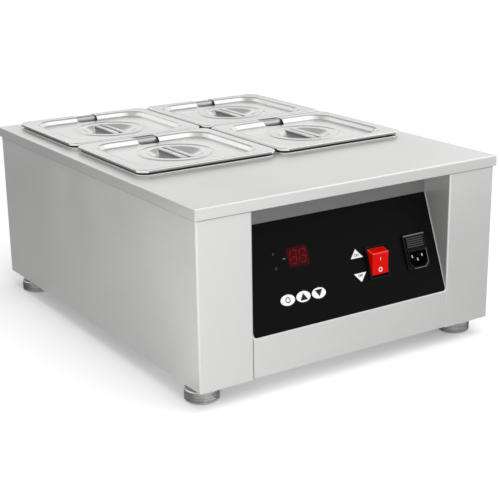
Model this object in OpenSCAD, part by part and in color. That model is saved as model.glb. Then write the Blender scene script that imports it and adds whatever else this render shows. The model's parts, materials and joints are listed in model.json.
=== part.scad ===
// Countertop chocolate melting tank: a folded steel casing on round feet, with a
// leaning control panel between two front columns and four lift-out pans with lids.
// The front faces -Y, +Z is up, and the origin lies on the table under the plate's middle.

/* [Casing] */
// Width of the top plate, left to right
plate_w = 390; // [386:1:410]
// Depth of the top plate, front to back
plate_d = 490; // [486:1:520]
// Height of the top plate's upper face above the table
plate_top = 212; // [208:1:230]
// Height of the lip that is folded down around the top plate
lip_h = 12; // [8:1:18]
// Thickness of the casing sheets
sheet = 1.2; // [1:0.1:1.5]
// How far the lip stands out past the casing
overhang = 2; // [1.8:0.1:3]
// Height of the casing's lower edge above the table
casing_bottom = 21; // [20:1:26]
// Outer radius of the sheets' bends
bend_r = 2; // [1.8:0.1:3]
// Width of the flanges folded in under the casing and at its back edges
flange_w = 12; // [8:1:14]

/* [Console] */
// Clear width between the front columns
console_w = 258; // [254:1:264]
// Height of the flat rail's upper edge above the table
rail_top = 64; // [60:1:68]
// Lean of the control panel from upright, in degrees
lean = 21; // [16:1:24]
// Length of the control panel up its slope
panel_len = 116; // [114:1:120]
// How deep the columns' inner sides run back
column_depth = 46; // [44:1:60]
// Thickness of the black front film
film = 0.5; // [0.3:0.1:0.8]
// Bare steel left at each end of the front film
film_margin = 1; // [0.5:0.5:4]

/* [Pans and lids] */
// Width of a lid, left to right
lid_w = 176; // [174:1:177]
// Depth of a lid, front to back
lid_d = 162; // [160:1:163]
// How far a pan's rim is set in under its lid's edge
rim_step = 2.5; // [2:0.1:3]
// Inside depth of a pan
pan_depth = 100; // [90:1:102]
// Gap between neighbouring lids, left to right
pan_gap_x = 3; // [2:0.5:4]
// Gap between neighbouring lids, front to back
pan_gap_y = 4; // [2:0.5:5]
// Distance of the four pans' middle behind the plate's middle
pan_group_y = 59; // [52:1:60]
// Width of a pan's rim around its mouth
rim_w = 9.5; // [9:0.5:11]
// Thickness of the pan and lid sheets
pan_sheet = 0.9; // [0.7:0.1:1.2]
// Height of a pan's rim above the top plate
pan_rim_h = 6; // [5.5:0.5:7]
// Height of a lid's turned-down edge
lid_skirt_h = 3; // [2.5:0.5:4]
// Width of a lid's flat border around its sunken panel
lid_border = 14; // [13:0.5:16]
// Depth of a lid's sunken panel below its border
lid_sink = 5.5; // [5:0.5:6]
// Diameter of the finger dish in a lid
dish_d = 70; // [64:1:74]
// Depth of the finger dish
dish_depth = 12; // [9:0.5:13]
// Width of the handle bar over the finger dish
bar_w = 14; // [12:0.5:16]
// Width of the spoon notch in a lid's back edge
notch_w = 28; // [20:1:34]
// Reach of the spoon notch in from the back edge
notch_len = 24; // [20:1:26]

/* [Feet] */
// Diameter of a foot
foot_d = 37; // [32:1:40]
// Height of a foot's disc
foot_h = 15; // [13:0.5:16]
// Sideways distance of a foot from the middle
foot_x = 172; // [168:1:174]
// Lengthwise distance of a foot from the middle
foot_y = 210; // [204:1:214]

/* [Controls] */
// Width of the display window
window_w = 26; // [24:0.5:30]
// Height of the display window
window_h = 20.5; // [18:0.5:26]
// Width of an oval key
key_w = 19; // [17:0.1:19]
// Height of an oval key
key_h = 13.4; // [12:0.1:15]
// Distance between the keys' middles
key_pitch = 19.8; // [19.6:0.1:22]
// How far a key travels when it is pressed
key_travel = 0.45; // [0.3:0.05:0.5]
// Tilt of the rocker to each side, in degrees
rocker_tilt = 20; // [14:1:20]
// Travel of the fuse drawer
drawer_travel = 24; // [18:1:24]

/* [Hidden] */
$fn = 48;
snug = 0.3;
eps = 0.01;

corners = ["back_left", "back_right", "front_left", "front_right"];
corner_signs = [[-1, 1], [1, 1], [-1, -1], [1, -1]];
key_names = ["set", "up", "down"];

case_x = plate_w / 2 - overhang;
case_y = plate_d / 2 - overhang;
plate_under = plate_top - sheet;
base_z = casing_bottom + sheet;
base_top = base_z + sheet;
inner_x = case_x - sheet;
inner_y = case_y - sheet;
base_play = 1;
column_x = console_w / 2;
plate_edge_r = 1.6;

// Screws of the casing
screw_head_r = 3.4;
screw_head_h = 1.8;
screw_crown_r = 2;
screw_r = 1.8;
screw_len = 7;
screw_recess = [4, 1, 1];
screw_x = case_x - flange_w / 2;
base_screw_y = [-150, 0, 150];
back_screw_z = [50, 116, 182];

// Panel frame: u runs right, v runs up the slope, w stands out of the panel
panel_top_y = -case_y + panel_len * sin(lean);
panel_top_z = rail_top + panel_len * cos(lean);
film_w = console_w - 2 * film_margin;
film_low = 1.5;
film_high = panel_len - 1;
film_r = 3;
window_at = [-56, 74];
lamp_at = [[-85.5, 81], [-85.5, 66]];
lamp_d = 3;
keys_at = [-60, 31.7];
key_stem_d = 5;
key_stem = 5.5;
key_cap = 0.75;
key_rest = key_travel + 0.1;
rocker_at = [42.5, 50];
inlet_at = [97, 52];
board_at = [-62, 56];
board_size = [96, 84, 1.6];
board_w = -12;
spacer_inset = 5;
spacer_d = 6;
transformer = [30, 26, 22];
transformer_at = [-34, -6];
capacitor = [12, 16];
capacitor_at = [20, 10];
push_switch = [6, 6, 3.5];
push_stem_d = 3.4;
push_play = 0.15;
display_inset = 1;
display_gap = 1;
lamp_proud = 0.2;
spade = [0.8, 6, 8];

// Rocker switch
rocker_size = [22, 30.2];
rocker_frame = [28, 36.5, 2];
rocker_window = [22.8, 32];
rocker_body = [27, 34.4, 22];
rocker_pivot_w = 0.5;
rocker_crest = [12.2, 7.2];
rocker_dip = 0.7;
rocker_face_steps = 8;
rocker_skirt = 4;
rocker_pin_r = 1.6;
rocker_pin_wall = 0.8;
rocker_pin_play = 0.4;
rocker_well = 14;
frame_r = 2;
terminal_at = [[-5.5, -10], [-5.5, 0], [-5.5, 10], [5.5, -10], [5.5, 0], [5.5, 10]];

// Mains inlet with a fuse drawer above its socket
inlet_frame = [31, 39, 2.5];
inlet_body = [27.6, 35.6, 26];
socket_size = [24.4, 16.6];
socket_v = -8.6;
socket_chamfer = 5;
socket_depth = 17;
socket_rim = [1.1, 0.6];
pin_at = [[-7, 2], [7, 2], [0, -2]];
pin_size = [2, 4];
pin_short = 5;
drawer_size = [22, 9, drawer_travel + 1];
drawer_v = 10.2;
drawer_wall = 2;
drawer_rib = [18, 0.8, 0.6];
drawer_rib_v = [-3, -1, 1, 3];
fuse_d = 5;
fuse_len = 20;

// Feet
foot_stud_d = 8;
foot_stud_h = 9;
foot_neck_d = 16;
foot_rim = 2.4;
foot_edge = 1;
nut_d = 15;
nut_h = 6.5;

// Pans and lids, pressed from sheet
pan_z = plate_top + pan_rim_h;
pan_floor = pan_z - pan_depth;
pan_edge = [lid_w - 2 * rim_step, lid_d - 2 * rim_step];
pan_corner = 10.5;
pan_mouth = [pan_edge[0] - 2 * rim_w, pan_edge[1] - 2 * rim_w];
pan_mouth_r = 22;
pan_taper = 8;
pan_floor_r = 12;
pan_lip_r = 4;
pan_edge_r = 1.5;
cutout_play = 1.2;
lid_z = pan_z + pan_sheet;
lid_floor = lid_z - lid_sink;
lid_corner = pan_corner + rim_step;
lid_hollow = [lid_w - 2 * lid_border, lid_d - 2 * lid_border];
lid_hollow_r = 24;
lid_slope = 5;
lid_wall_r = [3, 2.5];
lid_edge_r = 2;
flat_run = 4;
dish_low = lid_floor - dish_depth;
dish_flat = 16;
bead_r = dish_d / 2 + 8;
bead_h = 0.8;
bead_half = 2;
bead_top = 0.7;
bead_bend = 1.2;
dish_bends = [20, 3];
notch_r = 7;
bar_t = 2.2;
bar_len = 2 * (bead_r - 3);
bar_groove = [4.6, 0.9];
bar_round = 0.6;

// Heated well
well_size = [346, 320];
well_sheet = 1;
well_r = 18;
well_flange = 10;
well_floor = pan_floor - pan_sheet - 3;
heater_size = [318, 292, 3];
heater_r = 10;
heater_z = well_floor - well_sheet - heater_size[2];
wool_t = 10;
wool_bed = 26;
wool_short = 12;
wool_z = heater_z - wool_bed;
well_front = pan_group_y - well_size[1] / 2;
wool_front = well_front - wool_t;
rail_x = 110;
rail_w = 40;
rail_foot = 12;
rail_len = 280;
probe_at = [-60, 150];
probe_clip = [26, 1.2, 12];
probe_d = 6;
cutout_at = [60, 150];
cutout_clip = [24, 10, 1];
cutout_can = [16, 9];
cutout_tab_x = 4.5;
pocket_size = [46, 36];

// Wiring parts on the base plate
relay_at = [-120, -170];
relay_base = [58, 44, 5];
relay_cover = [54, 44, 20];
block_at = [20, -160];
block_ways = 5;
block_way = [10, 22, 18];
block_hole_d = 5;
block_hole_y = [6, 16];
block_hole_z = 8;
stud_at = [110, -160];
stud = [5, 20];
stud_nut = [10, 4];

function pan_at(i) = [
    corner_signs[i][0] * (lid_w + pan_gap_x) / 2,
    pan_group_y + corner_signs[i][1] * (lid_d + pan_gap_y) / 2
];

function key_at(i) = [keys_at[0] + (i - 1) * key_pitch, keys_at[1]];

// Outlines and frames

function unit(v) = v / norm(v);
function left_of(v) = [-v[1], v[0]];
function turned_back(p) = [for (i = [len(p) - 1 : -1 : 0]) p[i]];

// Arc that rounds the corner b of the path a, b, c
function bend_arc(a, b, c, r, steps = 5) =
    let (
        back = unit(a - b),
        on = unit(c - b),
        half = acos(back * on) / 2,
        centre = b + unit(back + on) * r / sin(half),
        from = b + back * r / tan(half) - centre,
        to = b + on * r / tan(half) - centre,
        start = atan2(from[1], from[0]),
        sweep = (atan2(to[1], to[0]) - start + 540) % 360 - 180
    )
    [for (i = [0 : steps]) centre + r * [cos(start + sweep * i / steps), sin(start + sweep * i / steps)]];

// Path with every inner corner rounded, by one radius or by a list of them
function bent_path(p, r) = concat(
    [p[0]],
    [for (i = [1 : len(p) - 2]) each bend_arc(p[i - 1], p[i], p[i + 1], is_list(r) ? r[i - 1] : r)],
    [p[len(p) - 1]]
);

// The same path moved sideways, to the left of its direction
function moved_path(p, t) = [
    for (i = [0 : len(p) - 1])
        let (
            before = left_of(unit(i == 0 ? p[1] - p[0] : p[i] - p[i - 1])),
            after = left_of(unit(i == len(p) - 1 ? p[i] - p[i - 1] : p[i + 1] - p[i])),
            out = unit(before + after)
        )
        p[i] + out * t / (out * before)
];

// Section of a folded sheet whose outer face follows the path
module folded_sheet(p, t, r = bend_r) {
    outer = bent_path(p, r);
    polygon(concat(outer, turned_back(moved_path(outer, t))));
}

module rounded_rect(w, d, r) {
    square([w - 2 * r, d], center = true);
    square([w, d - 2 * r], center = true);
    for (sx = [-1, 1], sy = [-1, 1])
        translate([sx * (w / 2 - r), sy * (d / 2 - r)])
            circle(r);
}

module oval(w, h, points = 40) {
    polygon([for (i = [0 : points - 1]) [w / 2 * cos(360 * i / points), h / 2 * sin(360 * i / points)]]);
}

// Sweeps a section around a rounded rectangle. In the section x is the distance out
// from the rectangle's outline and y is the height.
module swept_around(size, r) {
    for (q = [0 : 3])
        translate([(q == 0 || q == 3 ? 1 : -1) * (size[0] / 2 - r), (q < 2 ? 1 : -1) * (size[1] / 2 - r)])
            rotate(90 * q)
                rotate_extrude(angle = 90)
                    translate([r, 0])
                        children();
    for (q = [0 : 3])
        rotate(90 * q)
            translate([size[q % 2] / 2, 0])
                rotate([90, 0, 0])
                    linear_extrude(size[(q + 1) % 2] - 2 * r, center = true)
                        children();
}

// Lays an outline drawn in Y and Z across the object's width
module across(width) {
    rotate([90, 0, 90])
        linear_extrude(width, center = true)
            children();
}

module at_panel(at, w = 0) {
    translate([0, -case_y, rail_top])
        rotate([90 - lean, 0, 0])
            translate([at[0], at[1], w])
                children();
}

// Block with rounded upper edges, its top at z = 0
module capped_block(w, d, h, r) {
    intersection() {
        rotate([90, 0, 0])
            linear_extrude(d, center = true)
                capped_section(w, h, r);
        across(w)
            capped_section(d, h, r);
    }
}

module capped_section(w, h, r) {
    translate([-w / 2, -h])
        square([w, h - r]);
    translate([-w / 2 + r, -h])
        square([w - 2 * r, h]);
    for (s = [-1, 1])
        translate([s * (w / 2 - r), -r])
            circle(r);
}

// Casing

module top_plate() {
    color("gainsboro")
        difference() {
            translate([0, 0, plate_top])
                capped_block(plate_w, plate_d, lip_h, plate_edge_r);
            translate([-plate_w / 2 + sheet, -plate_d / 2 + sheet, plate_top - lip_h - 1])
                cube([plate_w - 2 * sheet, plate_d - 2 * sheet, lip_h + 1 - sheet]);
            for (i = [0 : 3])
                translate(concat(pan_at(i), plate_top - lip_h))
                    linear_extrude(2 * lip_h)
                        plate_cutout();
        }
}

module plate_cutout() {
    grow = 2 * (pan_sheet + cutout_play);
    rounded_rect(pan_mouth[0] + grow, pan_mouth[1] + grow, pan_mouth_r + grow / 2);
}

module side_panel() {
    difference() {
        union() {
            translate([0, 0, casing_bottom])
                linear_extrude(plate_under - casing_bottom)
                    folded_sheet([
                        [-case_x + flange_w, case_y],
                        [-case_x, case_y],
                        [-case_x, -case_y],
                        [-column_x, -case_y],
                        [-column_x, -case_y + column_depth]
                    ], sheet);
            translate([-case_x + bend_r, -case_y + bend_r, casing_bottom])
                cube([flange_w - bend_r, 2 * (case_y - bend_r), sheet]);
            translate([-case_x + bend_r, -case_y + sheet / 2, casing_bottom])
                cube([case_x - column_x - 2 * bend_r, flange_w - sheet / 2, sheet]);
        }
        // The inner side of the column stands on the base plate
        translate([-column_x - 2 * bend_r, -case_y + sheet, casing_bottom - 1])
            cube([4 * bend_r, column_depth, base_top - casing_bottom + 1]);
        at_base_screws(-1)
            screw_hole();
        at_back_screws(-1)
            screw_hole();
    }
}

module left_side_panel() {
    color("silver")
        side_panel();
}

module right_side_panel() {
    color("silver")
        mirror([1, 0, 0])
            side_panel();
}

module back_panel() {
    color("silver")
        difference() {
            translate([-inner_x + base_play, inner_y - sheet, base_top])
                cube([2 * (inner_x - base_play), sheet, plate_under - base_top]);
            for (s = [-1, 1])
                at_back_screws(s)
                    screw_hole();
        }
}

module console_panel() {
    color("silver")
        difference() {
            across(console_w)
                folded_sheet([
                    [-case_y + flange_w, casing_bottom],
                    [-case_y, casing_bottom],
                    [-case_y, rail_top],
                    [panel_top_y, panel_top_z],
                    [panel_top_y, plate_under]
                ], -sheet);
            at_panel([0, 0], -2 * sheet)
                linear_extrude(4 * sheet)
                    panel_holes();
        }
}

module panel_holes() {
    translate(window_at)
        square([window_w, window_h], center = true);
    for (p = lamp_at)
        translate(p)
            circle(d = lamp_d + 2 * snug);
    for (i = [0 : 2])
        translate(key_at(i))
            circle(d = key_stem_d + 2 * snug);
    translate(rocker_at)
        square([rocker_body[0], rocker_body[1]], center = true);
    translate(inlet_at)
        square([inlet_body[0], inlet_body[1]], center = true);
}

module base_plate() {
    slot = [4, 60];
    slot_pitch = 14;
    slots = 9;
    slot_rows = [-60, 140];
    color("silver")
        difference() {
            translate([-inner_x + base_play, -inner_y + base_play, base_z])
                cube([2 * (inner_x - base_play), 2 * inner_y - base_play - snug, sheet]);
            for (s = corner_signs)
                translate([s[0] * foot_x, s[1] * foot_y, base_z - 1])
                    cylinder(d = foot_stud_d + 2 * snug, h = sheet + 2);
            for (i = [0 : slots - 1], y = slot_rows)
                translate([(i - (slots - 1) / 2) * slot_pitch, y, base_z - 1])
                    linear_extrude(sheet + 2)
                        rounded_rect(slot[0], slot[1], slot[0] / 2 - eps);
            for (s = [-1, 1])
                at_base_screws(s)
                    screw_hole();
        }
}

// Cross-recessed screw seated on z = 0, its shank pointing down
module screw() {
    difference() {
        rotate_extrude()
            polygon([
                [0, -screw_len], [screw_r, -screw_len], [screw_r, 0], [screw_head_r, 0],
                [screw_head_r, screw_head_h / 2], [screw_crown_r, screw_head_h], [0, screw_head_h]
            ]);
        for (turn = [0, 90])
            rotate(turn)
                translate([-screw_recess[0] / 2, -screw_recess[1] / 2, screw_head_h - screw_recess[2]])
                    cube(screw_recess + [0, 0, 1]);
    }
}

// Puts a child at each screw on the given side, its head facing down
module at_base_screws(s) {
    for (y = base_screw_y)
        translate([s * screw_x, y, casing_bottom])
            rotate([180, 0, 0])
                children();
}

// Puts a child at each screw on the given side, its head facing back
module at_back_screws(s) {
    for (z = back_screw_z)
        translate([s * screw_x, case_y, z])
            rotate([-90, 0, 0])
                children();
}

module screw_hole() {
    translate([0, 0, -screw_len])
        cylinder(r = screw_r + snug, h = 2 * screw_len);
}

module base_screws() {
    color("dimgray")
        for (s = [-1, 1])
            at_base_screws(s)
                screw();
}

module back_screws() {
    color("dimgray")
        for (s = [-1, 1])
            at_back_screws(s)
                screw();
}

// Feet

module foot(i) {
    color("lightgray")
        translate([corner_signs[i][0] * foot_x, corner_signs[i][1] * foot_y, 0])
            rotate_extrude()
                polygon([
                    [0, 0], [foot_d / 2 - foot_edge, 0], [foot_d / 2, foot_edge],
                    [foot_d / 2, foot_h - foot_rim], [foot_d / 2 - foot_rim, foot_h],
                    [foot_neck_d / 2, foot_h], [foot_neck_d / 2, base_z], [foot_stud_d / 2, base_z],
                    [foot_stud_d / 2, base_top + foot_stud_h], [0, base_top + foot_stud_h]
                ]);
}

module foot_nuts() {
    color("gray")
        for (s = corner_signs)
            translate([s[0] * foot_x, s[1] * foot_y, base_top])
                difference() {
                    cylinder(d = nut_d, h = nut_h, $fn = 6);
                    translate([0, 0, -1])
                        cylinder(d = foot_stud_d + snug, h = nut_h + 2);
                }
}

// Heated well

module well_liner() {
    color("lightsteelblue")
        translate([0, pan_group_y, 0])
            difference() {
                union() {
                    translate([0, 0, plate_under - well_sheet])
                        linear_extrude(well_sheet)
                            rounded_rect(well_size[0] + 2 * well_flange, well_size[1] + 2 * well_flange,
                                         well_r + well_flange);
                    translate([0, 0, well_floor - well_sheet])
                        linear_extrude(plate_under - well_floor)
                            rounded_rect(well_size[0], well_size[1], well_r);
                }
                translate([0, 0, well_floor])
                    linear_extrude(plate_under)
                        rounded_rect(well_size[0] - 2 * well_sheet, well_size[1] - 2 * well_sheet,
                                     well_r - well_sheet);
            }
}

module heater_mat() {
    color("chocolate")
        translate([0, pan_group_y, heater_z])
            linear_extrude(heater_size[2])
                rounded_rect(heater_size[0], heater_size[1], heater_r);
}

module insulation() {
    outer = [well_size[0] + 2 * wool_t, well_size[1] + 2 * wool_t];
    color("khaki")
        difference() {
            translate([0, pan_group_y, wool_z])
                linear_extrude(plate_under - wool_short - wool_z)
                    rounded_rect(outer[0], outer[1], well_r + wool_t);
            translate([0, pan_group_y, heater_z + heater_size[2]])
                linear_extrude(plate_top)
                    rounded_rect(well_size[0] + 2 * snug, well_size[1] + 2 * snug, well_r + snug);
            translate([0, pan_group_y, heater_z])
                linear_extrude(heater_size[2] + 1)
                    rounded_rect(heater_size[0] + 2, heater_size[1] + 2, heater_r + 1);
            for (at = [probe_at, cutout_at])
                translate([at[0] - pocket_size[0] / 2, wool_front - 1, at[1] - pocket_size[1] / 2])
                    cube([pocket_size[0], wool_t + 3, pocket_size[1]]);
        }
}

module support_rails() {
    color("silver")
        for (s = [-1, 1])
            translate([s * rail_x, pan_group_y, 0])
                rotate([90, 0, 0])
                    linear_extrude(rail_len, center = true)
                        folded_sheet([
                            [-rail_w / 2 - rail_foot, base_top],
                            [-rail_w / 2, base_top],
                            [-rail_w / 2, wool_z - sheet],
                            [rail_w / 2, wool_z - sheet],
                            [rail_w / 2, base_top],
                            [rail_w / 2 + rail_foot, base_top]
                        ], sheet);
}

module temperature_probe() {
    color("goldenrod")
        translate([probe_at[0], well_front, probe_at[1]]) {
            translate([-probe_clip[0] / 2, -probe_clip[1], -probe_clip[2] / 2])
                cube(probe_clip);
            translate([-probe_clip[0] / 2, -probe_clip[1] - probe_d / 2 + snug, 0])
                rotate([0, 90, 0])
                    cylinder(d = probe_d, h = probe_clip[0]);
        }
}

module thermal_cutout() {
    color("beige")
        translate([cutout_at[0], well_front, cutout_at[1]])
            rotate([90, 0, 0]) {
                translate([-cutout_clip[0] / 2, -cutout_clip[1] / 2, 0])
                    cube(cutout_clip);
                cylinder(d = cutout_can[0], h = cutout_can[1]);
                for (s = [-1, 1])
                    translate([s * cutout_tab_x - spade[0] / 2, -spade[1] / 2, cutout_can[1] - snug])
                        cube(spade);
            }
}

// Pans and lids

// Flat sheet between an inner and an outer rounded rectangle, its upper face at z
module flat_border(z, outer, outer_r, inner, inner_r) {
    translate([0, 0, z - pan_sheet])
        linear_extrude(pan_sheet)
            difference() {
                rounded_rect(outer[0], outer[1], outer_r);
                rounded_rect(inner[0], inner[1], inner_r);
            }
}

function grown(size, by) = [size[0] + 2 * by, size[1] + 2 * by];

module pan(i) {
    floor_in = pan_taper + pan_floor_r;
    floor_size = grown(pan_mouth, -floor_in);
    color("whitesmoke")
        translate(concat(pan_at(i), 0)) {
            // Floor
            translate([0, 0, pan_floor - pan_sheet])
                linear_extrude(pan_sheet)
                    rounded_rect(floor_size[0], floor_size[1], pan_mouth_r - floor_in);
            // Tapered wall, rounded into the floor and over into the rim
            swept_around(pan_mouth, pan_mouth_r)
                folded_sheet([
                    [-floor_in, pan_floor], [-pan_taper, pan_floor], [0, pan_z], [flat_run, pan_z]
                ], -pan_sheet, [pan_floor_r, pan_lip_r]);
            flat_border(pan_z, grown(pan_edge, -flat_run), pan_corner - flat_run,
                        grown(pan_mouth, flat_run), pan_mouth_r + flat_run);
            // Turned-down edge of the rim
            swept_around(pan_edge, pan_corner)
                folded_sheet([[-flat_run, pan_z], [0, pan_z], [0, plate_top]], -pan_sheet, pan_edge_r);
        }
}

// Finger dish with its lip and the ring bead around it, revolved as one pressed sheet
module finger_dish() {
    rotate_extrude()
        folded_sheet([
            [0, dish_low], [dish_flat, dish_low], [dish_d / 2, lid_floor],
            [bead_r - bead_half, lid_floor], [bead_r - bead_top, lid_floor + bead_h],
            [bead_r + bead_top, lid_floor + bead_h], [bead_r + bead_half, lid_floor],
            [bead_r + flat_run, lid_floor]
        ], -pan_sheet, concat(dish_bends, [for (i = [1 : 4]) bead_bend]));
}

module lid(i) {
    edge = [lid_w, lid_d];
    floor_in = lid_slope + flat_run;
    floor_size = grown(lid_hollow, -floor_in);
    color("white")
        translate(concat(pan_at(i), 0))
            difference() {
                union() {
                    finger_dish();
                    translate([0, 0, lid_floor - pan_sheet])
                        linear_extrude(pan_sheet)
                            difference() {
                                rounded_rect(floor_size[0], floor_size[1], lid_hollow_r - floor_in);
                                circle(bead_r + flat_run);
                            }
                    // Sloping wall from the sunken panel up to the border
                    swept_around(lid_hollow, lid_hollow_r)
                        folded_sheet([
                            [-floor_in, lid_floor], [-lid_slope, lid_floor], [0, lid_z], [flat_run, lid_z]
                        ], -pan_sheet, lid_wall_r);
                    flat_border(lid_z, grown(edge, -flat_run), lid_corner - flat_run,
                                grown(lid_hollow, flat_run), lid_hollow_r + flat_run);
                    // Turned-down edge, clear of the pan's rim
                    swept_around(edge, lid_corner)
                        folded_sheet([
                            [-flat_run, lid_z], [0, lid_z], [0, lid_z - lid_skirt_h]
                        ], -pan_sheet, lid_edge_r);
                }
                // Spoon notch
                translate([0, lid_d / 2, lid_floor - flat_run])
                    linear_extrude(lid_sink + 2 * flat_run)
                        rounded_rect(notch_w, 2 * notch_len, notch_r);
            }
}

module handle_bar(i) {
    half = [
        [bar_w / 2, 0], [bar_w / 2, bar_t - bar_round], [bar_w / 2 - bar_round, bar_t],
        [bar_groove[0] / 2 + bar_round, bar_t], [bar_groove[0] / 2, bar_t - bar_groove[1]]
    ];
    color("white")
        translate(concat(pan_at(i), lid_floor))
            intersection() {
                rotate([90, 0, 0])
                    linear_extrude(bar_len, center = true)
                        polygon(concat(half, turned_back([for (p = half) [-p[0], p[1]]])));
                cylinder(r = bar_len / 2, h = 2 * bar_t);
            }
}

// Control panel

module front_film() {
    color("black")
        at_panel([0, 0])
            linear_extrude(film)
                difference() {
                    translate([0, (film_low + film_high) / 2])
                        rounded_rect(film_w, film_high - film_low, film_r);
                    translate(window_at)
                        square([window_w, window_h], center = true);
                    for (p = lamp_at)
                        translate(p)
                            circle(d = lamp_d + 2 * snug);
                    for (i = [0 : 2])
                        translate(key_at(i))
                            oval(key_w + 2 * snug, key_h + 2 * snug);
                    translate(rocker_at)
                        square([rocker_body[0], rocker_body[1]], center = true);
                    translate(inlet_at)
                        square([inlet_body[0], inlet_body[1]], center = true);
                }
}

module display_window() {
    color("darkred")
        at_panel(window_at, -sheet)
            linear_extrude(sheet + film)
                square([window_w, window_h], center = true);
}

module display_module() {
    color("black")
        at_panel(window_at, board_w)
            linear_extrude(-board_w - sheet - display_gap)
                square([window_w - 2 * display_inset, window_h - 2 * display_inset], center = true);
}

module indicator_lamps() {
    color("gray")
        for (p = lamp_at)
            at_panel(p, board_w)
                cylinder(d = lamp_d, h = film - board_w + lamp_proud);
}

module key(i) {
    color("white")
        at_panel(key_at(i)) {
            translate([0, 0, key_rest])
                linear_extrude(key_cap)
                    oval(key_w, key_h);
            translate([0, 0, -key_stem])
                cylinder(d = key_stem_d, h = key_stem + key_rest + key_cap / 2);
        }
}

module key_switches() {
    top = -key_stem - key_travel - push_play;
    color("dimgray")
        for (i = [0 : 2])
            at_panel(key_at(i), board_w) {
                translate([-push_switch[0] / 2, -push_switch[1] / 2, 0])
                    cube(push_switch);
                cylinder(d = push_stem_d, h = top - board_w);
            }
}

module control_board() {
    color("darkgreen")
        at_panel([0, 0], board_w - board_size[2]) {
            linear_extrude(board_size[2])
                translate(board_at)
                    square([board_size[0], board_size[1]], center = true);
            // Transformer and capacitor on the back of the board
            translate(concat(board_at + transformer_at, -transformer[2]))
                cube(transformer);
            translate(concat(board_at + capacitor_at, -capacitor[1]))
                cylinder(d = capacitor[0], h = capacitor[1]);
        }
}

module board_spacers() {
    color("goldenrod")
        for (s = corner_signs)
            at_panel([board_at[0] + s[0] * (board_size[0] / 2 - spacer_inset),
                      board_at[1] + s[1] * (board_size[1] / 2 - spacer_inset)], board_w)
                cylinder(d = spacer_d, h = -board_w - sheet);
}

// Rocker switch

module rocker_housing() {
    color("black")
        at_panel(rocker_at)
            difference() {
                union() {
                    translate([0, 0, film])
                        linear_extrude(rocker_frame[2])
                            rounded_rect(rocker_frame[0], rocker_frame[1], frame_r);
                    translate([0, 0, -rocker_body[2]])
                        linear_extrude(rocker_body[2] + film + eps)
                            square([rocker_body[0], rocker_body[1]], center = true);
                }
                translate([-rocker_window[0] / 2, -rocker_window[1] / 2, -rocker_well])
                    cube([rocker_window[0], rocker_window[1], 2 * rocker_well]);
                translate([-rocker_body[0] / 2 + rocker_pin_wall, 0, rocker_pivot_w])
                    rotate([0, 90, 0])
                        cylinder(r = rocker_pin_r + snug, h = rocker_body[0] - 2 * rocker_pin_wall);
            }
}

module rocker() {
    half = rocker_size[1] / 2;
    pin_len = rocker_body[0] - 2 * (rocker_pin_wall + rocker_pin_play);
    face = [
        for (i = [0 : rocker_face_steps])
            let (along = 1 - 2 * i / rocker_face_steps)
            [along * rocker_crest[0], rocker_crest[1] - rocker_dip * (1 - along * along)]
    ];
    color("red")
        at_panel(rocker_at, rocker_pivot_w)
            rotate([rocker_tilt, 0, 0]) {
                across(rocker_size[0])
                    polygon(concat([[half, -rocker_skirt]], face, [[-half, -rocker_skirt]]));
                rotate([0, 90, 0])
                    cylinder(r = rocker_pin_r, h = pin_len, center = true);
            }
}

module rocker_terminals() {
    color("gold")
        for (p = terminal_at)
            at_panel(rocker_at + p, -rocker_body[2] - spade[2])
                translate([-spade[0] / 2, -spade[1] / 2, 0])
                    cube(spade);
}

// Mains inlet

// Outline of the socket, moved outwards by grow
module socket_outline(grow = 0) {
    w = socket_size[0] / 2 + grow;
    h = socket_size[1] / 2 + grow;
    chamfer = socket_chamfer + grow * (2 - sqrt(2));
    half = [[w - chamfer, -h], [w, -h + chamfer], [w, h]];
    polygon(concat(half, turned_back([for (p = half) [-p[0], p[1]]])));
}

module inlet_housing() {
    color("black")
        at_panel(inlet_at)
            difference() {
                union() {
                    translate([0, 0, film])
                        linear_extrude(inlet_frame[2])
                            rounded_rect(inlet_frame[0], inlet_frame[1], frame_r);
                    translate([0, socket_v, film])
                        linear_extrude(inlet_frame[2] + socket_rim[1])
                            socket_outline(socket_rim[0]);
                    translate([0, 0, -inlet_body[2]])
                        linear_extrude(inlet_body[2] + film + eps)
                            square([inlet_body[0], inlet_body[1]], center = true);
                }
                translate([0, socket_v, film + inlet_frame[2] - socket_depth])
                    linear_extrude(socket_depth + 1)
                        socket_outline();
                translate([0, drawer_v, film + inlet_frame[2] - drawer_size[2] - snug])
                    linear_extrude(drawer_size[2] + 2)
                        square([drawer_size[0] + 2 * snug, drawer_size[1] + 2 * snug], center = true);
            }
}

module inlet_pins() {
    low = film + inlet_frame[2] - socket_depth;
    color("silver")
        for (p = pin_at)
            at_panel(inlet_at + [p[0], socket_v + p[1]]) {
                translate([-pin_size[0] / 2, -pin_size[1] / 2, low])
                    cube(concat(pin_size, socket_depth - pin_short));
                translate([-spade[0] / 2, -spade[1] / 2, -inlet_body[2] - spade[2]])
                    cube(spade);
            }
}

module fuse_drawer() {
    top = film + inlet_frame[2];
    color("black")
        at_panel(inlet_at + [0, drawer_v])
            difference() {
                union() {
                    translate([-drawer_size[0] / 2, -drawer_size[1] / 2, top - drawer_size[2]])
                        cube(drawer_size);
                    for (v = drawer_rib_v)
                        translate([-drawer_rib[0] / 2, v - drawer_rib[1] / 2, top - eps])
                            cube(drawer_rib);
                }
                // Cradle for the fuse, open downwards
                translate([-fuse_d / 2 - snug, -drawer_size[1] / 2 - 1, top - drawer_size[2] + drawer_wall])
                    cube([fuse_d + 2 * snug, drawer_size[1] / 2 + 1 + fuse_d / 2, fuse_len]);
            }
}

module fuse() {
    top = film + inlet_frame[2];
    color("lightcyan")
        at_panel(inlet_at + [0, drawer_v], top - drawer_size[2] + drawer_wall)
            cylinder(d = fuse_d, h = fuse_len);
}

// Wiring parts on the base plate

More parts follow.
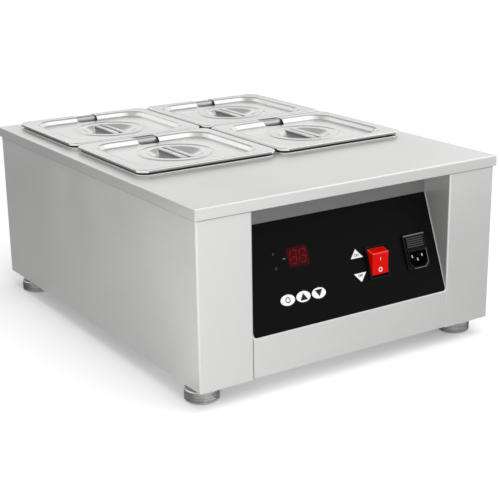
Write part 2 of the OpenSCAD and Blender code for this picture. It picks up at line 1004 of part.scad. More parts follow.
module power_relay() {
    color("white")
        translate(concat(relay_at, base_top)) {
            cube(relay_base);
            translate([(relay_base[0] - relay_cover[0]) / 2, 0, relay_base[2]])
                cube(relay_cover);
        }
}

module terminal_block() {
    color("ivory")
        translate(concat(block_at, base_top))
            difference() {
                cube([block_ways * block_way[0], block_way[1], block_way[2]]);
                for (i = [0 : block_ways - 1], y = block_hole_y)
                    translate([(i + 0.5) * block_way[0], y, block_hole_z])
                        cylinder(d = block_hole_d, h = block_way[2]);
            }
}

module earth_stud() {
    color("gold")
        translate(concat(stud_at, base_top)) {
            cylinder(d = stud[0], h = stud[1]);
            cylinder(d = stud_nut[0], h = stud_nut[1], $fn = 6);
        }
}

top_plate();
left_side_panel();
right_side_panel();
back_panel();
console_panel();
base_plate();
base_screws();
back_screws();
foot_nuts();
well_liner();
heater_mat();
insulation();
support_rails();
temperature_probe();
thermal_cutout();
for (i = [0 : 3]) {
    foot(i);
    pan(i);
    lid(i);
    handle_bar(i);
}
front_film();
display_window();
display_module();
indicator_lamps();
for (i = [0 : 2])
    key(i);
key_switches();
control_board();
board_spacers();
rocker_housing();
rocker();
rocker_terminals();
inlet_housing();
inlet_pins();
fuse_drawer();
fuse();
power_relay();
terminal_block();
earth_stud();
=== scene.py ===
# %% [markdown]
# # A countertop chocolate melter
# The object is a folded steel box on four turned feet. Four pans with pressed lids hang in its top
# plate, and a leaning black panel with a display, keys, a rocker switch and a mains inlet sits between
# two front columns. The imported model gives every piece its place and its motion, so this lesson makes
# the surfaces that the eye looks at closely, and the finish of all of them.

# %% Load the frame
import json
import math

import bmesh
import bpy
from mathutils import Euler, Matrix, Quaternion, Vector


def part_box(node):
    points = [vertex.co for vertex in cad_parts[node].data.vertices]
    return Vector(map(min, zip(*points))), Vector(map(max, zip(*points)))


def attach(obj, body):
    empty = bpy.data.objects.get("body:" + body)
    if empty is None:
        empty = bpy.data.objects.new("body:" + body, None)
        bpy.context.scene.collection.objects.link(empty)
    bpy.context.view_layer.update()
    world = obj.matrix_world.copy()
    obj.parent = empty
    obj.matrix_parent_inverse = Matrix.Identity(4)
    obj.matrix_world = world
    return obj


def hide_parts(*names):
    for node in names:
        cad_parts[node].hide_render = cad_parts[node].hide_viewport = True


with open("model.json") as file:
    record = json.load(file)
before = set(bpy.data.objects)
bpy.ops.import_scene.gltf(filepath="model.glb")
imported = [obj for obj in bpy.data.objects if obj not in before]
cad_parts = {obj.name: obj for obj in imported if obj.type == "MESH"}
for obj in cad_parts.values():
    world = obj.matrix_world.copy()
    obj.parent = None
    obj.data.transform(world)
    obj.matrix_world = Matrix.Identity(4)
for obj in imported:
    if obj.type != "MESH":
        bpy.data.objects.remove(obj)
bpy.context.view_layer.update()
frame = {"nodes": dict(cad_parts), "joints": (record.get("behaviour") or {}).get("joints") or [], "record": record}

scene = bpy.context.scene
nodes = frame["nodes"]
joints = {joint["name"]: joint for joint in frame["joints"]}
slot_of = {part["node"]: part["material_slot"] for part in frame["record"]["subparts"]}

# %% [markdown]
# ## Colours and shader nodes
# A colour is picked as an sRGB hex value, but a shader works with linear light, so one function
# turns the first into the second. A second small function adds any shader node, with its settings and
# its links, so that each material below reads as a short list of what the surface does.

# %% Colour and node helpers
CASING = "#E2E2E1"


def linear(hex_colour):
    """An sRGB hex colour, by the sRGB curve, as linear red, green, blue and a full alpha."""
    parts = [int(hex_colour[i:i + 2], 16) / 255 for i in (1, 3, 5)]
    light = [c / 12.92 if c <= 0.04045 else ((c + 0.055) / 1.055) ** 2.4 for c in parts]
    return (*light, 1.0)


def add(tree, kind, inputs=None, **settings):
    """Adds one shader node: settings are its own options, inputs are values, or what to link.

    A node stands for its first output."""
    node = tree.nodes.new("ShaderNode" + kind)
    for name, value in settings.items():
        setattr(node, name, value)
    for name, value in (inputs or {}).items():
        if isinstance(value, bpy.types.Node):
            value = value.outputs[0]
        if isinstance(value, bpy.types.NodeSocket):
            tree.links.new(value, node.inputs[name])
        else:
            node.inputs[name].default_value = value
    return node


def new_material(name):
    """An empty material and its node tree."""
    made = bpy.data.materials.new(name)
    made.use_nodes = True
    made.node_tree.nodes.clear()
    return made, made.node_tree


print("casing grey in linear light:", [round(c, 3) for c in linear(CASING)[:3]])

# %% [markdown]
# ## Brushed stainless steel
# The casing is stainless sheet with a satin face: rolled, ground with a belt, then folded. The belt
# leaves fine parallel scratches, so the sheet mirrors its surroundings softly. Real scratches are about
# 0.1 mm apart, too fine to show in this picture, so they are drawn about 1 mm apart and faint. A second,
# broad noise stands for the slow changes of gloss that rolling and handling leave. The scratches also
# throw a small share of the light widely, which a slightly lower metallic value gives. The direction of
# the belt differs between the sheets, so it is given to the function. The tone may change at a height,
# and this paints light and shade: a strip deep under a lip is painted dark as shade, and the top plate's
# face is painted brighter than the lip that is folded down from it.

# %% Brushed steel
MM = 0.001
CLOUD_MM = 90
CLOUD_GLOSS = 0.03
BELT_RELIEF = 0.08
RELIEF_MM = 0.1
# Tone of the painted shade under lips and bars.
PAINTED_SHADE_TONE = 0.3
NOISE_RANGE = {"From Min": 0.3, "From Max": 0.7}


def brushed_steel(name, colour, roughness, scatter, line_mm, run_mm, along, contrast,
                  shift_at_mm=None, shift_over_mm=1, shift=PAINTED_SHADE_TONE):
    """Satin steel with belt lines along one axis or two, line_mm apart and run_mm long.

    Above the height shift_at_mm its tone is multiplied by shift, which paints shade or light by height."""
    made, tree = new_material(name)
    place = add(tree, "TexCoord").outputs["Object"]
    scale = [1 / MM / (run_mm if axis in along else line_mm) for axis in "XYZ"]
    belt = add(tree, "Mapping", {"Vector": place, "Scale": scale})
    lines = add(tree, "TexNoise", {"Vector": belt, "Scale": 1.0, "Detail": 3.0, "Roughness": 0.6})
    cloud = add(tree, "TexNoise", {"Vector": place, "Scale": 1 / MM / CLOUD_MM, "Detail": 2.0})
    tone = add(tree, "MapRange", {
        "Value": lines, **NOISE_RANGE, "To Min": 1 - contrast, "To Max": 1 + contrast})
    if shift_at_mm:
        height = add(tree, "SeparateXYZ", {"Vector": place}).outputs["Z"]
        change = add(tree, "MapRange", {
            "Value": height, "From Min": (shift_at_mm - shift_over_mm) * MM,
            "From Max": shift_at_mm * MM, "To Min": 1.0, "To Max": shift})
        tone = add(tree, "Math", {0: tone, 1: change}, operation="MULTIPLY")
    grey = add(tree, "VectorMath", {0: linear(colour)[:3], "Scale": tone}, operation="SCALE")
    gloss = add(tree, "MapRange", {
        "Value": cloud, **NOISE_RANGE,
        "To Min": roughness - CLOUD_GLOSS, "To Max": roughness + CLOUD_GLOSS})
    bump = add(tree, "Bump", {"Height": lines, "Strength": BELT_RELIEF, "Distance": RELIEF_MM * MM})
    steel = add(tree, "BsdfPrincipled", {
        "Base Color": grey, "Metallic": 1 - scatter, "Roughness": gloss, "Normal": bump})
    add(tree, "OutputMaterial", {"Surface": steel})
    return made


print("belt relief", RELIEF_MM, "mm, gloss clouds", CLOUD_MM, "mm")

# %% Steel finishes
# Heights above which a tone changes: painted shade under lips, painted light on the plate's face.
LIP_SHADOW_FROM = 199.2
STRIP_SHADE_FROM = 170
PLATE_FACE = 211.8
PLATE_PAINTED_LIGHT = 1.08
# Stock: name, colour, roughness, scatter, line and run in mm, belt axis, contrast, change of tone
STEELS = {
    # Sides: soft tones drawn out along the belt, and a painted shadow line under the lip.
    "casing_steel": ("brushed stainless steel", CASING, 0.42, 0.35, 1.1, 120, "Y", 0.02, LIP_SHADOW_FROM),
    # Top plate: a finer belt, it mirrors the lids faintly, and its flat face is painted lighter than its lip.
    "plate_steel": ("brushed steel, top plate", CASING, 0.36, 0.3, 1.1, 120, "X", 0.012, PLATE_FACE, 1,
                    PLATE_PAINTED_LIGHT),
    # Console: the belt ran across, and the strip under the lip is painted dark as shade.
    "front_steel": ("brushed steel, front", CASING, 0.42, 0.35, 1.1, 120, "X", 0.015, STRIP_SHADE_FROM),
    # Lids, bars and beads: polished, with clear bands of light and dark.
    "pan_steel": ("pressed stainless steel", "#E8E8E7", 0.24, 0.12, 1.4, 60, "Y", 0.008),
    # Hollow under a pan's rim: steel painted dark as the shade in it, a dark line.
    "rough_edge": ("unpolished steel", "#3C3C3C", 0.55, 0.3, 1.5, 30, "X", 0.06),
    # Turned-down edge of a lid: painted grey as the reflection of the dark gap below, a thin outline.
    "sheared_edge": ("sheared steel edge", "#9A9A99", 0.36, 0.2, 1.4, 60, "Y", 0.02),
    # Inside of a pan: dulled by drawing marks down its walls.
    "pan_inside": ("drawn stainless steel", "#BCBCBB", 0.34, 0.15, 1.4, 60, "Z", 0.02),
    # Inner sheets: even and grey, as the mill delivers them.
    "inner_steel": ("mill-finish steel", "#B4B5B5", 0.45, 0.2, 2.0, 40, "Y", 0.05),
    # Feet: smooth, with streaks of light and dark from the lathe.
    "foot_steel": ("turned stainless steel", "#BABAB9", 0.2, 0.08, 1.5, 90, "XY", 0.35),
    # Chamfer of a foot: a painted highlight, bright from every side.
    "foot_rim": ("bright-turned steel", "#F2F2F1", 0.3, 0.5, 1.5, 90, "XY", 0.02)}
finishes = {stock: brushed_steel(*values) for stock, values in STEELS.items()}
print("steels:", len(finishes))

# %% [markdown]
# ## Plated screws and contacts
# Screws are zinc plated and contact blades are tinned brass: small bright parts with a slightly uneven
# plating. A fine noise on roughness is enough at their size.

# %% Plated metal
PLATING_GLOSS = 0.08


def plated(name, colour, roughness, grain_mm):
    """Thin bright plating on a small part, a little uneven in gloss."""
    made, tree = new_material(name)
    place = add(tree, "TexCoord").outputs["Object"]
    grain = add(tree, "TexNoise", {"Vector": place, "Scale": 1 / MM / grain_mm, "Detail": 2.0})
    gloss = add(tree, "MapRange", {
        "Value": grain, "To Min": roughness - PLATING_GLOSS, "To Max": roughness + PLATING_GLOSS})
    metal = add(tree, "BsdfPrincipled", {
        "Base Color": linear(colour), "Metallic": 1.0, "Roughness": gloss})
    add(tree, "OutputMaterial", {"Surface": metal})
    return made


# Zinc is cool and bright, tin a little warmer and duller.
finishes["screw_steel"] = plated("zinc-plated steel", "#C8CACC", 0.28, 2.0)
finishes["contact_metal"] = plated("tinned brass", "#BDBBB4", 0.34, 1.5)
print("plated metals:", finishes["screw_steel"].name, "and", finishes["contact_metal"].name)

# %% [markdown]
# ## Plastics, film and board
# The panel is covered by a black polyester film, printed from behind and semi-gloss. Frames and the
# inlet are moulded from glass-filled nylon with a fine spark-eroded grain, the rocker from glossy red
# polycarbonate, and the keys are white raised areas. All are plain dielectrics, so one function gives
# them a colour with a slight mottle, a gloss that varies with the grain, and a bump of its size. Shine
# is the specular level: the matt coat of the film keeps it far below that of bare plastic.

# %% Plastics
MOTTLE = 0.06
GRAIN_GLOSS = 0.05


def moulded(name, colour, roughness, grain_mm, relief, shine=0.5):
    """A moulded or printed plastic with a fine grain."""
    made, tree = new_material(name)
    place = add(tree, "TexCoord").outputs["Object"]
    grain = add(tree, "TexNoise", {"Vector": place, "Scale": 1 / MM / grain_mm, "Detail": 3.0})
    tone = add(tree, "MapRange", {"Value": grain, "To Min": 1 - MOTTLE, "To Max": 1 + MOTTLE})
    shade = add(tree, "VectorMath", {0: linear(colour)[:3], "Scale": tone}, operation="SCALE")
    gloss = add(tree, "MapRange", {
        "Value": grain, "To Min": roughness - GRAIN_GLOSS, "To Max": roughness + GRAIN_GLOSS})
    bump = add(tree, "Bump", {"Height": grain, "Strength": relief, "Distance": RELIEF_MM * MM})
    plastic = add(tree, "BsdfPrincipled", {
        "Base Color": shade, "Roughness": gloss, "Specular IOR Level": shine, "Normal": bump})
    add(tree, "OutputMaterial", {"Surface": plastic})
    return made


print("plastic mottle", MOTTLE, "of its tone")

# %% Plastic and ink finishes
# Stock: name, colour, roughness, grain in mm, relief, shine
PLASTICS = {
    # Film: deep black with a faint, wide sheen.
    "film_black": ("printed polyester film", "#0B0B0B", 0.38, 0.8, 0.05, 0.05),
    # Frames and inlet: black, the grain breaks up the light.
    "housing_black": ("moulded nylon", "#0C0C0D", 0.34, 0.7, 0.2, 0.1),
    # Rocker: an even deep red, and a paler red painted as a highlight on its upper edge.
    "rocker_red": ("red polycarbonate", "#D80E08", 0.3, 2.0, 0.03, 0.05),
    "rocker_edge": ("red polycarbonate, lit edge", "#F2503E", 0.3, 2.0, 0.03, 0.2),
    # Keys: smooth white with a soft light on the edge.
    "key_white": ("white key film", "#F2F2F0", 0.35, 0.8, 0.05),
    # Lamps: dark and glossy while they are off.
    "lamp_clear": ("smoked lamp lens", "#262626", 0.2, 1.0, 0.0, 0.3),
    # Display: a glossy dark red window, with segments a shade lighter.
    "window_red": ("red tinted acrylic", "#40060B", 0.14, 3.0, 0.0, 0.05),
    "segment_red": ("unlit display segments", "#701319", 0.3, 2.0, 0.0, 0.05),
    # Inside: matt ivory mouldings, a glossier green board, a matt brick-red heater.
    "inner_plastic": ("ivory polyamide", "#DAD7C8", 0.5, 0.8, 0.2),
    "board_green": ("lacquered board", "#1D5A38", 0.35, 1.2, 0.2),
    "heater_silicone": ("silicone rubber", "#8A3A22", 0.6, 1.5, 0.4),
    # Screen inks: flat, even and matt.
    "ink_white": ("white screen ink", "#F0F0EE", 0.45, 0.8, 0.05),
    "ink_grey": ("grey screen ink", "#6E686C", 0.45, 0.8, 0.05),
    "ink_black": ("black screen ink", "#141414", 0.5, 0.8, 0.05, 0.2),
    # Inlet: a pale nylon painted as highlights on edges, and a lighter one painted as highlights on the ribs.
    "worn_nylon": ("plug-worn nylon", "#6A6A6C", 0.4, 0.7, 0.2),
    "ribbed_nylon": ("ribbed nylon", "#48484A", 0.4, 0.7, 0.2, 0.2)}
finishes.update({stock: moulded(*values) for stock, values in PLASTICS.items()})
print("plastics and inks:", len(PLASTICS))

# %% [markdown]
# ## Wool and glass
# Mineral wool is a mat of tangled fibres: matt, yellowish and lumpy. Single fibres are far too fine to
# show, so tufts of 3 mm stand for them. The fuse is a glass tube, which stays hidden inside its drawer
# and needs no more than a clear, slightly grey glass with faint streaks.

# %% Wool and glass
TUFT_MM = 3.0
LUMP_MM = 2
STREAK_MM = 4.0
made, tree = new_material("mineral wool")
place = add(tree, "TexCoord").outputs["Object"]
tufts = add(tree, "TexNoise", {"Vector": place, "Scale": 1 / MM / TUFT_MM, "Detail": 6.0})
tint = add(tree, "Mix", {"Factor": tufts, 6: linear("#8E7F45"), 7: linear("#D8CC97")}, data_type="RGBA")
lumps = add(tree, "Bump", {"Height": tufts, "Strength": 0.6, "Distance": LUMP_MM * MM})
wool = add(tree, "BsdfPrincipled", {"Base Color": tint.outputs[2], "Roughness": 0.95, "Normal": lumps})
add(tree, "OutputMaterial", {"Surface": wool})
finishes["wool"] = made

made, tree = new_material("fuse glass")
place = add(tree, "TexCoord").outputs["Object"]
streaks = add(tree, "TexNoise", {"Vector": place, "Scale": 1 / MM / STREAK_MM})
clear = add(tree, "MapRange", {"Value": streaks, "To Min": 0.02, "To Max": 0.08})
glass = add(tree, "BsdfPrincipled", {
    "Base Color": linear("#E4ECEC"), "Roughness": clear, "Transmission Weight": 0.9})
add(tree, "OutputMaterial", {"Surface": glass})
finishes["fuse_glass"] = made
print(len(finishes), "finishes ready")

# %% [markdown]
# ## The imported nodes
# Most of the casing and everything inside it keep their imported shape, and the record names the stock of
# each. One loop finishes them all; only the top plate and the console have a belt finish of their own.

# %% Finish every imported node
OWN_FINISH = {"top_plate": "plate_steel", "console_panel": "front_steel"}
for name, part in nodes.items():
    part.data.materials.clear()
    part.data.materials.append(finishes[OWN_FINISH.get(name, slot_of[name])])
print("finished", len(nodes), "packed nodes of", len(set(slot_of.values())), "stocks")

# %% [markdown]
# ## From a bmesh to a piece
# New pieces are drawn in millimetres, because that is how the real ones are measured, and scaled to
# metres at the end. The object itself stays at the origin, so a pattern on object coordinates lies on
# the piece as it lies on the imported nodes. Weighted normals let a large flat face keep its own normal
# next to a narrow bend, which is how a folded sheet looks.

# %% Piece helpers
SHARP = math.radians(35)


def box_mm(node):
    """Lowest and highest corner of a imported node, in millimetres."""
    low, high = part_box(node)
    return low / MM, high / MM


def centred(node, height):
    """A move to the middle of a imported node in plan, at a height."""
    low, high = box_mm(node)
    middle = (low + high) / 2
    return Matrix.Translation((middle.x, middle.y, height))


def make_piece(name, bm, place, body, slot, coats=None, replaced=(), sheet_mm=0, even=False):
    """Puts a bmesh in its place as a piece that rides on a body, in one finish or several.

    A sheet grows away from the side that its faces look to. Even normals suit flats beside bends."""
    bmesh.ops.transform(bm, matrix=place, verts=bm.verts)
    bmesh.ops.scale(bm, vec=(MM, MM, MM), verts=bm.verts)
    mesh = bpy.data.meshes.new(name)
    bm.to_mesh(mesh)
    bm.free()
    mesh.shade_smooth()
    mesh.set_sharp_from_angle(angle=SHARP)
    for coat in coats or (slot,):
        mesh.materials.append(finishes[coat])
    piece = bpy.data.objects.new(name, mesh)
    scene.collection.objects.link(piece)
    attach(piece, body)
    if replaced:
        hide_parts(*replaced)
    if sheet_mm:
        wall = piece.modifiers.new("Sheet", "SOLIDIFY")
        wall.thickness = sheet_mm * MM
        wall.offset = -1
        wall.use_even_offset = True
    if even:
        piece.modifiers.new("Weighted normals", "WEIGHTED_NORMAL").keep_sharp = True
    print(name, len(mesh.polygons), "faces")


print("plate top", round(box_mm("top_plate")[1].z, 2), "mm above the table")

# %% [markdown]
# Flat outlines, extrusions and bends come back on piece after piece. Each is one operator, and writing
# its options once keeps every bend alike.

# %% Shape helpers
TOUCHING = 0.001


def rectangle(bm, size):
    """A flat rectangle about the origin. Returns its corners."""
    corners = bmesh.ops.create_grid(bm, x_segments=1, y_segments=1, size=0.5)["verts"]
    bmesh.ops.scale(bm, vec=(*size, 1), verts=corners)
    return corners


def polygon(bm, points, radius):
    """A flat regular polygon, or a disc with enough points. Returns its corners."""
    return bmesh.ops.create_circle(bm, cap_ends=True, segments=points, radius=radius)["verts"]


def bend(bm, geom, width, steps=5, affect="EDGES"):
    """Rounds edges or corners as a press or a mould does. Returns the faces of the bend."""
    return bmesh.ops.bevel(bm, geom=geom, offset=width, offset_type="OFFSET", affect=affect,
                           segments=steps, profile=0.5, material=-1)["faces"]


def extrude(bm, faces, way):
    """Extrudes flat faces along a vector into a closed solid."""
    grown = bmesh.ops.extrude_face_region(bm, geom=faces)["geom"]
    bmesh.ops.translate(bm, vec=way, verts=[g for g in grown if isinstance(g, bmesh.types.BMVert)])
    bmesh.ops.recalc_face_normals(bm, faces=bm.faces)


def sharp_edges(bm):
    """The edges where two faces meet at a clear angle."""
    return [e for e in bm.edges if len(e.link_faces) == 2 and e.calc_face_angle() > SHARP]


def second_coat(faces):
    """Gives faces the second finish of their piece."""
    for face in faces:
        face.material_index = 1


print("points closer than", TOUCHING, "mm are one")

# %% [markdown]
# ## Pressed pans
# A gastronorm pan is pressed from one flat blank: its rim is turned down and the middle is drawn down
# to the floor. The same can be done to a face: inset it and push it, step after step, then bevel the
# rings where the sheet bends. Where the corner radius changes, as between the rim and the mouth, two
# outlines of equal vertex count are bridged instead. A sheet has no inside, so it gets its thickness
# last.

# %% Outlines and press steps
CORNER_STEPS = 8
SIDE_CUTS = 7
OUTLINE_POINTS = 4 * (CORNER_STEPS + 1 + SIDE_CUTS)


def rounded_face(bm, size, radius, height):
    """A flat face with round corners, with its long sides cut into short edges."""
    before = set(bm.faces)
    corners = rectangle(bm, size)
    bmesh.ops.translate(bm, vec=(0, 0, height), verts=corners)
    bend(bm, corners, radius, CORNER_STEPS, "VERTICES")
    face = (set(bm.faces) - before).pop()
    sides = sorted(face.edges, key=lambda edge: edge.calc_length())[-4:]
    bmesh.ops.subdivide_edges(bm, edges=sides, cuts=SIDE_CUTS)
    return (set(bm.faces) - before).pop()


def press(bm, face, inset, rise):
    """One press step: the face shrinks by inset and moves by rise. Returns the ring of edges it left."""
    ring = list(face.edges)
    bmesh.ops.inset_individual(bm, faces=[face], thickness=inset, depth=rise, use_even_offset=True)
    return ring


def join_outlines(bm, outer, inner):
    """Bridges the outline of one face to that of a smaller one in the same plane."""
    edges = list(outer.edges) + list(inner.edges)
    bmesh.ops.delete(bm, geom=[outer], context="FACES_ONLY")
    bmesh.ops.bridge_loops(bm, edges=edges)


def face_up(bm):
    """Turns all faces of a sheet to one side, its flat rim upwards."""
    bmesh.ops.recalc_face_normals(bm, faces=bm.faces)
    rim = max(bm.faces, key=lambda face: (round(face.calc_center_median().z, 3), face.calc_area()))
    if rim.normal.z < 0:
        bmesh.ops.reverse_faces(bm, faces=bm.faces)


print("each outline has", OUTLINE_POINTS, "points")

# %% Pan sheet
PAN_CORNER = 10.5
PAN_RIM = 9.5
PAN_EDGE = 1.6
PAN_EDGE_FLAT = 1.7
PAN_EDGE_BEND = 1.4
PAN_MOUTH_CORNER = 22
PAN_LIP_FLAT = 5
PAN_LIP_BEND = 4.4
PAN_TAPER = 8
PAN_FLOOR_BEND = 11


def pan_sheet(size, depth):
    """The upper side of a pan, with its rim at height 0."""
    bm = bmesh.new()
    rim = rounded_face(bm, size, PAN_CORNER, -PAN_EDGE)
    press(bm, rim, 0, PAN_EDGE)
    edge = press(bm, rim, PAN_EDGE_FLAT, 0)
    around_mouth = [s - 2 * (PAN_RIM - PAN_LIP_FLAT) for s in size]
    mouth = rounded_face(bm, around_mouth, PAN_MOUTH_CORNER + PAN_LIP_FLAT, 0)
    join_outlines(bm, rim, mouth)
    press(bm, mouth, PAN_LIP_FLAT, 0)
    lip = press(bm, mouth, PAN_TAPER, -depth)
    foot = list(mouth.edges)
    bend(bm, edge, PAN_EDGE_BEND, steps=4)
    bend(bm, lip, PAN_LIP_BEND)
    bend(bm, foot, PAN_FLOOR_BEND, steps=8)
    face_up(bm)
    return bm


print("pan rim", PAN_RIM, "mm wide")

# %% [markdown]
# The pan's rim is curled under, and the curl's lower turn rests on the plate as a bead. Between rim and
# bead lies a hollow, whose band of sheet is painted dark as shade. Both are bands of sheet that run once
# round the rim, so both are pressed from the same smaller outline and lose their middle.

# %% Bead and hollow under the rim
PAN_CURL = 4
PAN_GAP = 2.8
PAN_BEAD = 1.2
PAN_BEAD_BEND = 0.8
PAN_CLEAR = 0.1


def rim_band(size, steps):
    """A band of sheet under a pan's rim, pressed step by step from the curl's depth."""
    bm = bmesh.new()
    face = rounded_face(bm, [s - 2 * PAN_CURL for s in size], PAN_CORNER - PAN_CURL, -PAN_EDGE - PAN_GAP)
    rings = [press(bm, face, inset, rise) for inset, rise in steps]
    bmesh.ops.delete(bm, geom=[face], context="FACES")
    if len(rings) > 1:
        bend(bm, rings[1], PAN_BEAD_BEND, steps=3)
    bmesh.ops.recalc_face_normals(bm, faces=bm.faces)
    side = max(bm.faces, key=lambda f: f.calc_center_median().x * (1 - abs(f.normal.z)))
    if side.normal.x < 0:
        bmesh.ops.reverse_faces(bm, faces=bm.faces)
    return bm


print("hollow", PAN_GAP, "mm high")

# %% Make the pans
CORNERS = ("back_left", "back_right", "front_left", "front_right")
SHEET = 0.9
PLATE_TOP = box_mm("top_plate")[1].z

for corner in CORNERS:
    pan = "pan_" + corner
    low, high = box_mm(pan)
    size = (high.x - low.x, high.y - low.y)
    bead_height = high.z - PLATE_TOP - PAN_EDGE - PAN_GAP
    bead_steps = [(-PAN_CURL - PAN_BEAD, 0), (0, PAN_CLEAR - bead_height)]
    # The bead stays polished; the hollow's band is painted dark as shade.
    for name, bm, finish, replaced in (
            ("pressed_pan_", pan_sheet(size, high.z - low.z - SHEET), "pan_inside", [pan]),
            ("rim_bead_", rim_band(size, bead_steps), "pan_steel", ()),
            ("rim_gap_", rim_band(size, [(0, PAN_GAP)]), "rough_edge", ())):
        make_piece(name + corner, bm, centred(pan, high.z), pan, "pan_steel", (finish,), replaced, SHEET,
                   even=True)

# %% [markdown]
# ## Pressed lids
# A lid is pressed in the same way: a turned-down edge, painted grey as the reflection of the dark gap below
# it, a border, a sunken panel with large round corners, a ring bead, and a round finger dish. The dish is a
# shallow bowl, so its rings follow a parabola, with small steps where a spun cone would show a crease.

# %% Finger dish
LID_FLAT = 4
DISH_RADIUS = 32
DISH_DEPTH = 8.5
DISH_RINGS = (26.5, 21, 15.5, 10, 5.5)
BEAD_RADIUS = 43
BEAD_HEIGHT = 0.8
BEAD_FOOT = 1.3
BEAD_TOP = 1.4


def bowl(radius):
    """Depth of the dish at a distance from its middle."""
    return DISH_DEPTH * (1 - (radius / DISH_RADIUS) ** 2)


def press_dish(bm, dish):
    """Presses the ring bead and the bowl into a round face. Returns their rings of edges to bend."""
    bead_half = BEAD_FOOT + BEAD_TOP / 2
    press(bm, dish, LID_FLAT - bead_half, 0)
    bead = press(bm, dish, BEAD_FOOT, BEAD_HEIGHT)
    bead += press(bm, dish, BEAD_TOP, 0)
    bead += press(bm, dish, BEAD_FOOT, -BEAD_HEIGHT)
    bead += press(bm, dish, BEAD_RADIUS - bead_half - DISH_RADIUS, 0)
    lip = list(dish.edges)
    radii = (DISH_RADIUS, *DISH_RINGS)
    for wide, narrow in zip(radii, radii[1:]):
        press(bm, dish, wide - narrow, bowl(wide) - bowl(narrow))
    return bead, lip


print("dish", 2 * DISH_RADIUS, "mm wide and", DISH_DEPTH, "mm deep")

# %% Lid sheet
LID_CORNER = 13
LID_BORDER = 14
LID_EDGE = 3
LID_EDGE_BEND = 2.2
LID_SLOPE = 5
PANEL_CORNER = 24
WALL_TOP_BEND = 2.2
WALL_FOOT_BEND = 1.1
BEAD_BEND = 0.45
DISH_LIP_BEND = 0.9


def lid_sheet(size, sink):
    """The upper side of a lid, with its border at height 0 and its edge in the second finish, a painted
    reflection.
    """
    bm = bmesh.new()
    border = rounded_face(bm, size, LID_CORNER, -LID_EDGE)
    press(bm, border, 0, LID_EDGE)
    edge = press(bm, border, LID_FLAT, 0)
    around_panel = [s - 2 * (LID_BORDER - LID_FLAT) for s in size]
    sunk = rounded_face(bm, around_panel, PANEL_CORNER + LID_FLAT, 0)
    join_outlines(bm, border, sunk)
    press(bm, sunk, LID_FLAT, 0)
    wall_top = press(bm, sunk, LID_SLOPE, -sink)
    wall_foot = press(bm, sunk, LID_FLAT, 0)
    disc = polygon(bm, OUTLINE_POINTS, BEAD_RADIUS + LID_FLAT)
    bmesh.ops.translate(bm, vec=(0, 0, -sink), verts=disc)
    dish = disc[0].link_faces[0]
    join_outlines(bm, sunk, dish)
    bead, lip = press_dish(bm, dish)
    bend(bm, edge, LID_EDGE_BEND)
    bend(bm, wall_top, WALL_TOP_BEND)
    bend(bm, wall_foot, WALL_FOOT_BEND)
    bend(bm, bead, BEAD_BEND, steps=2)
    bend(bm, lip, DISH_LIP_BEND)
    face_up(bm)
    # The turned-down edge takes the second finish, a painted reflection of the dark gap.
    reach = [s / 2 - LID_EDGE_BEND / 4 for s in size]
    second_coat(f for f in bm.faces if any(abs(c) > r for c, r in zip(f.calc_center_median(), reach)))
    return bm


print("lid border", LID_BORDER, "mm wide")

# %% [markdown]
# The spoon notch is punched out of the lid's back edge: a slot with two round inner corners. A plane
# cuts a mesh cleanly along one line, so the slot's outline is cut plane by plane, with the round corners
# as a few short planes, and the faces inside all of them are deleted.

# %% Spoon notch
NOTCH_WIDTH = 28
NOTCH_REACH = 24
NOTCH_CORNER = 7
NOTCH_STEPS = 4


def notch_planes(back):
    """Points and outward normals of the planes around the notch."""
    half = NOTCH_WIDTH / 2
    turn = math.pi / 2 / NOTCH_STEPS
    planes = [(Vector((0, back - NOTCH_REACH, 0)), Vector((0, -1, 0)))]
    for side in (-1, 1):
        planes.append((Vector((side * half, 0, 0)), Vector((side, 0, 0))))
        centre = Vector((side * (half - NOTCH_CORNER), back - NOTCH_REACH + NOTCH_CORNER, 0))
        for step in range(NOTCH_STEPS):
            angle = turn * (step + 0.5)
            out = Vector((side * math.cos(angle), -math.sin(angle), 0))
            planes.append((centre + out * NOTCH_CORNER * math.cos(turn / 2), out))
    return planes


def cut_notch(bm, back):
    """Cuts the notch out of a lid whose back edge lies at a place along Y."""
    planes = notch_planes(back)
    for point, normal in planes:
        near = [f for f in bm.faces if f.calc_center_median().y > back - 2 * NOTCH_REACH]
        geom = near + list({e for f in near for e in f.edges}) + list({v for f in near for v in f.verts})
        bmesh.ops.bisect_plane(bm, geom=geom, plane_co=point, plane_no=normal, dist=TOUCHING)
    inside = [f for f in bm.faces
              if all((f.calc_center_median() - point).dot(normal) < 0 for point, normal in planes)]
    bmesh.ops.delete(bm, geom=inside, context="FACES")


print("notch", NOTCH_WIDTH, "x", NOTCH_REACH, "mm")

# %% Make the lids
for corner in CORNERS:
    lid = "lid_" + corner
    low, high = box_mm(lid)
    size = (high.x - low.x, high.y - low.y)
    bm = lid_sheet(size, high.z - box_mm("handle_bar_" + corner)[0].z)
    cut_notch(bm, size[1] / 2)
    make_piece("pressed_" + lid, bm, centred(lid, high.z), lid, "pan_steel",
               ("pan_steel", "sheared_edge"), [lid], SHEET, even=True)

# %% [markdown]
# ## Handle bars
# A bar with two raised lands lies across each finger dish and is pinched between thumb and finger. Its
# section is extruded, with a shallow groove. Its round ends lap over the dish's lip, and a cut near each
# end lets it run out thin there. Below it a thin web stands in the hollow as a sheet of painted shade,
# darker towards the bar. Planes cut the web into short lengths, so that its foot can be let down to the
# dish.

# %% Bar
BAR_GROOVE = 4.6
BAR_GROOVE_DEPTH = 1.3
BAR_GROOVE_SLOPE = 0.3
BAR_EDGE = 0.35
BAR_LAP = 1
BAR_SINK = 1.0
BAR_RUNOUT = 6
BAR_END = 0.5


def round_ends(bm, length):
    """Moves the two ends of a bar along Y onto a circle."""
    for v in bm.verts:
        v.co.y = math.copysign(math.sqrt((length / 2) ** 2 - v.co.x ** 2), v.co.y)


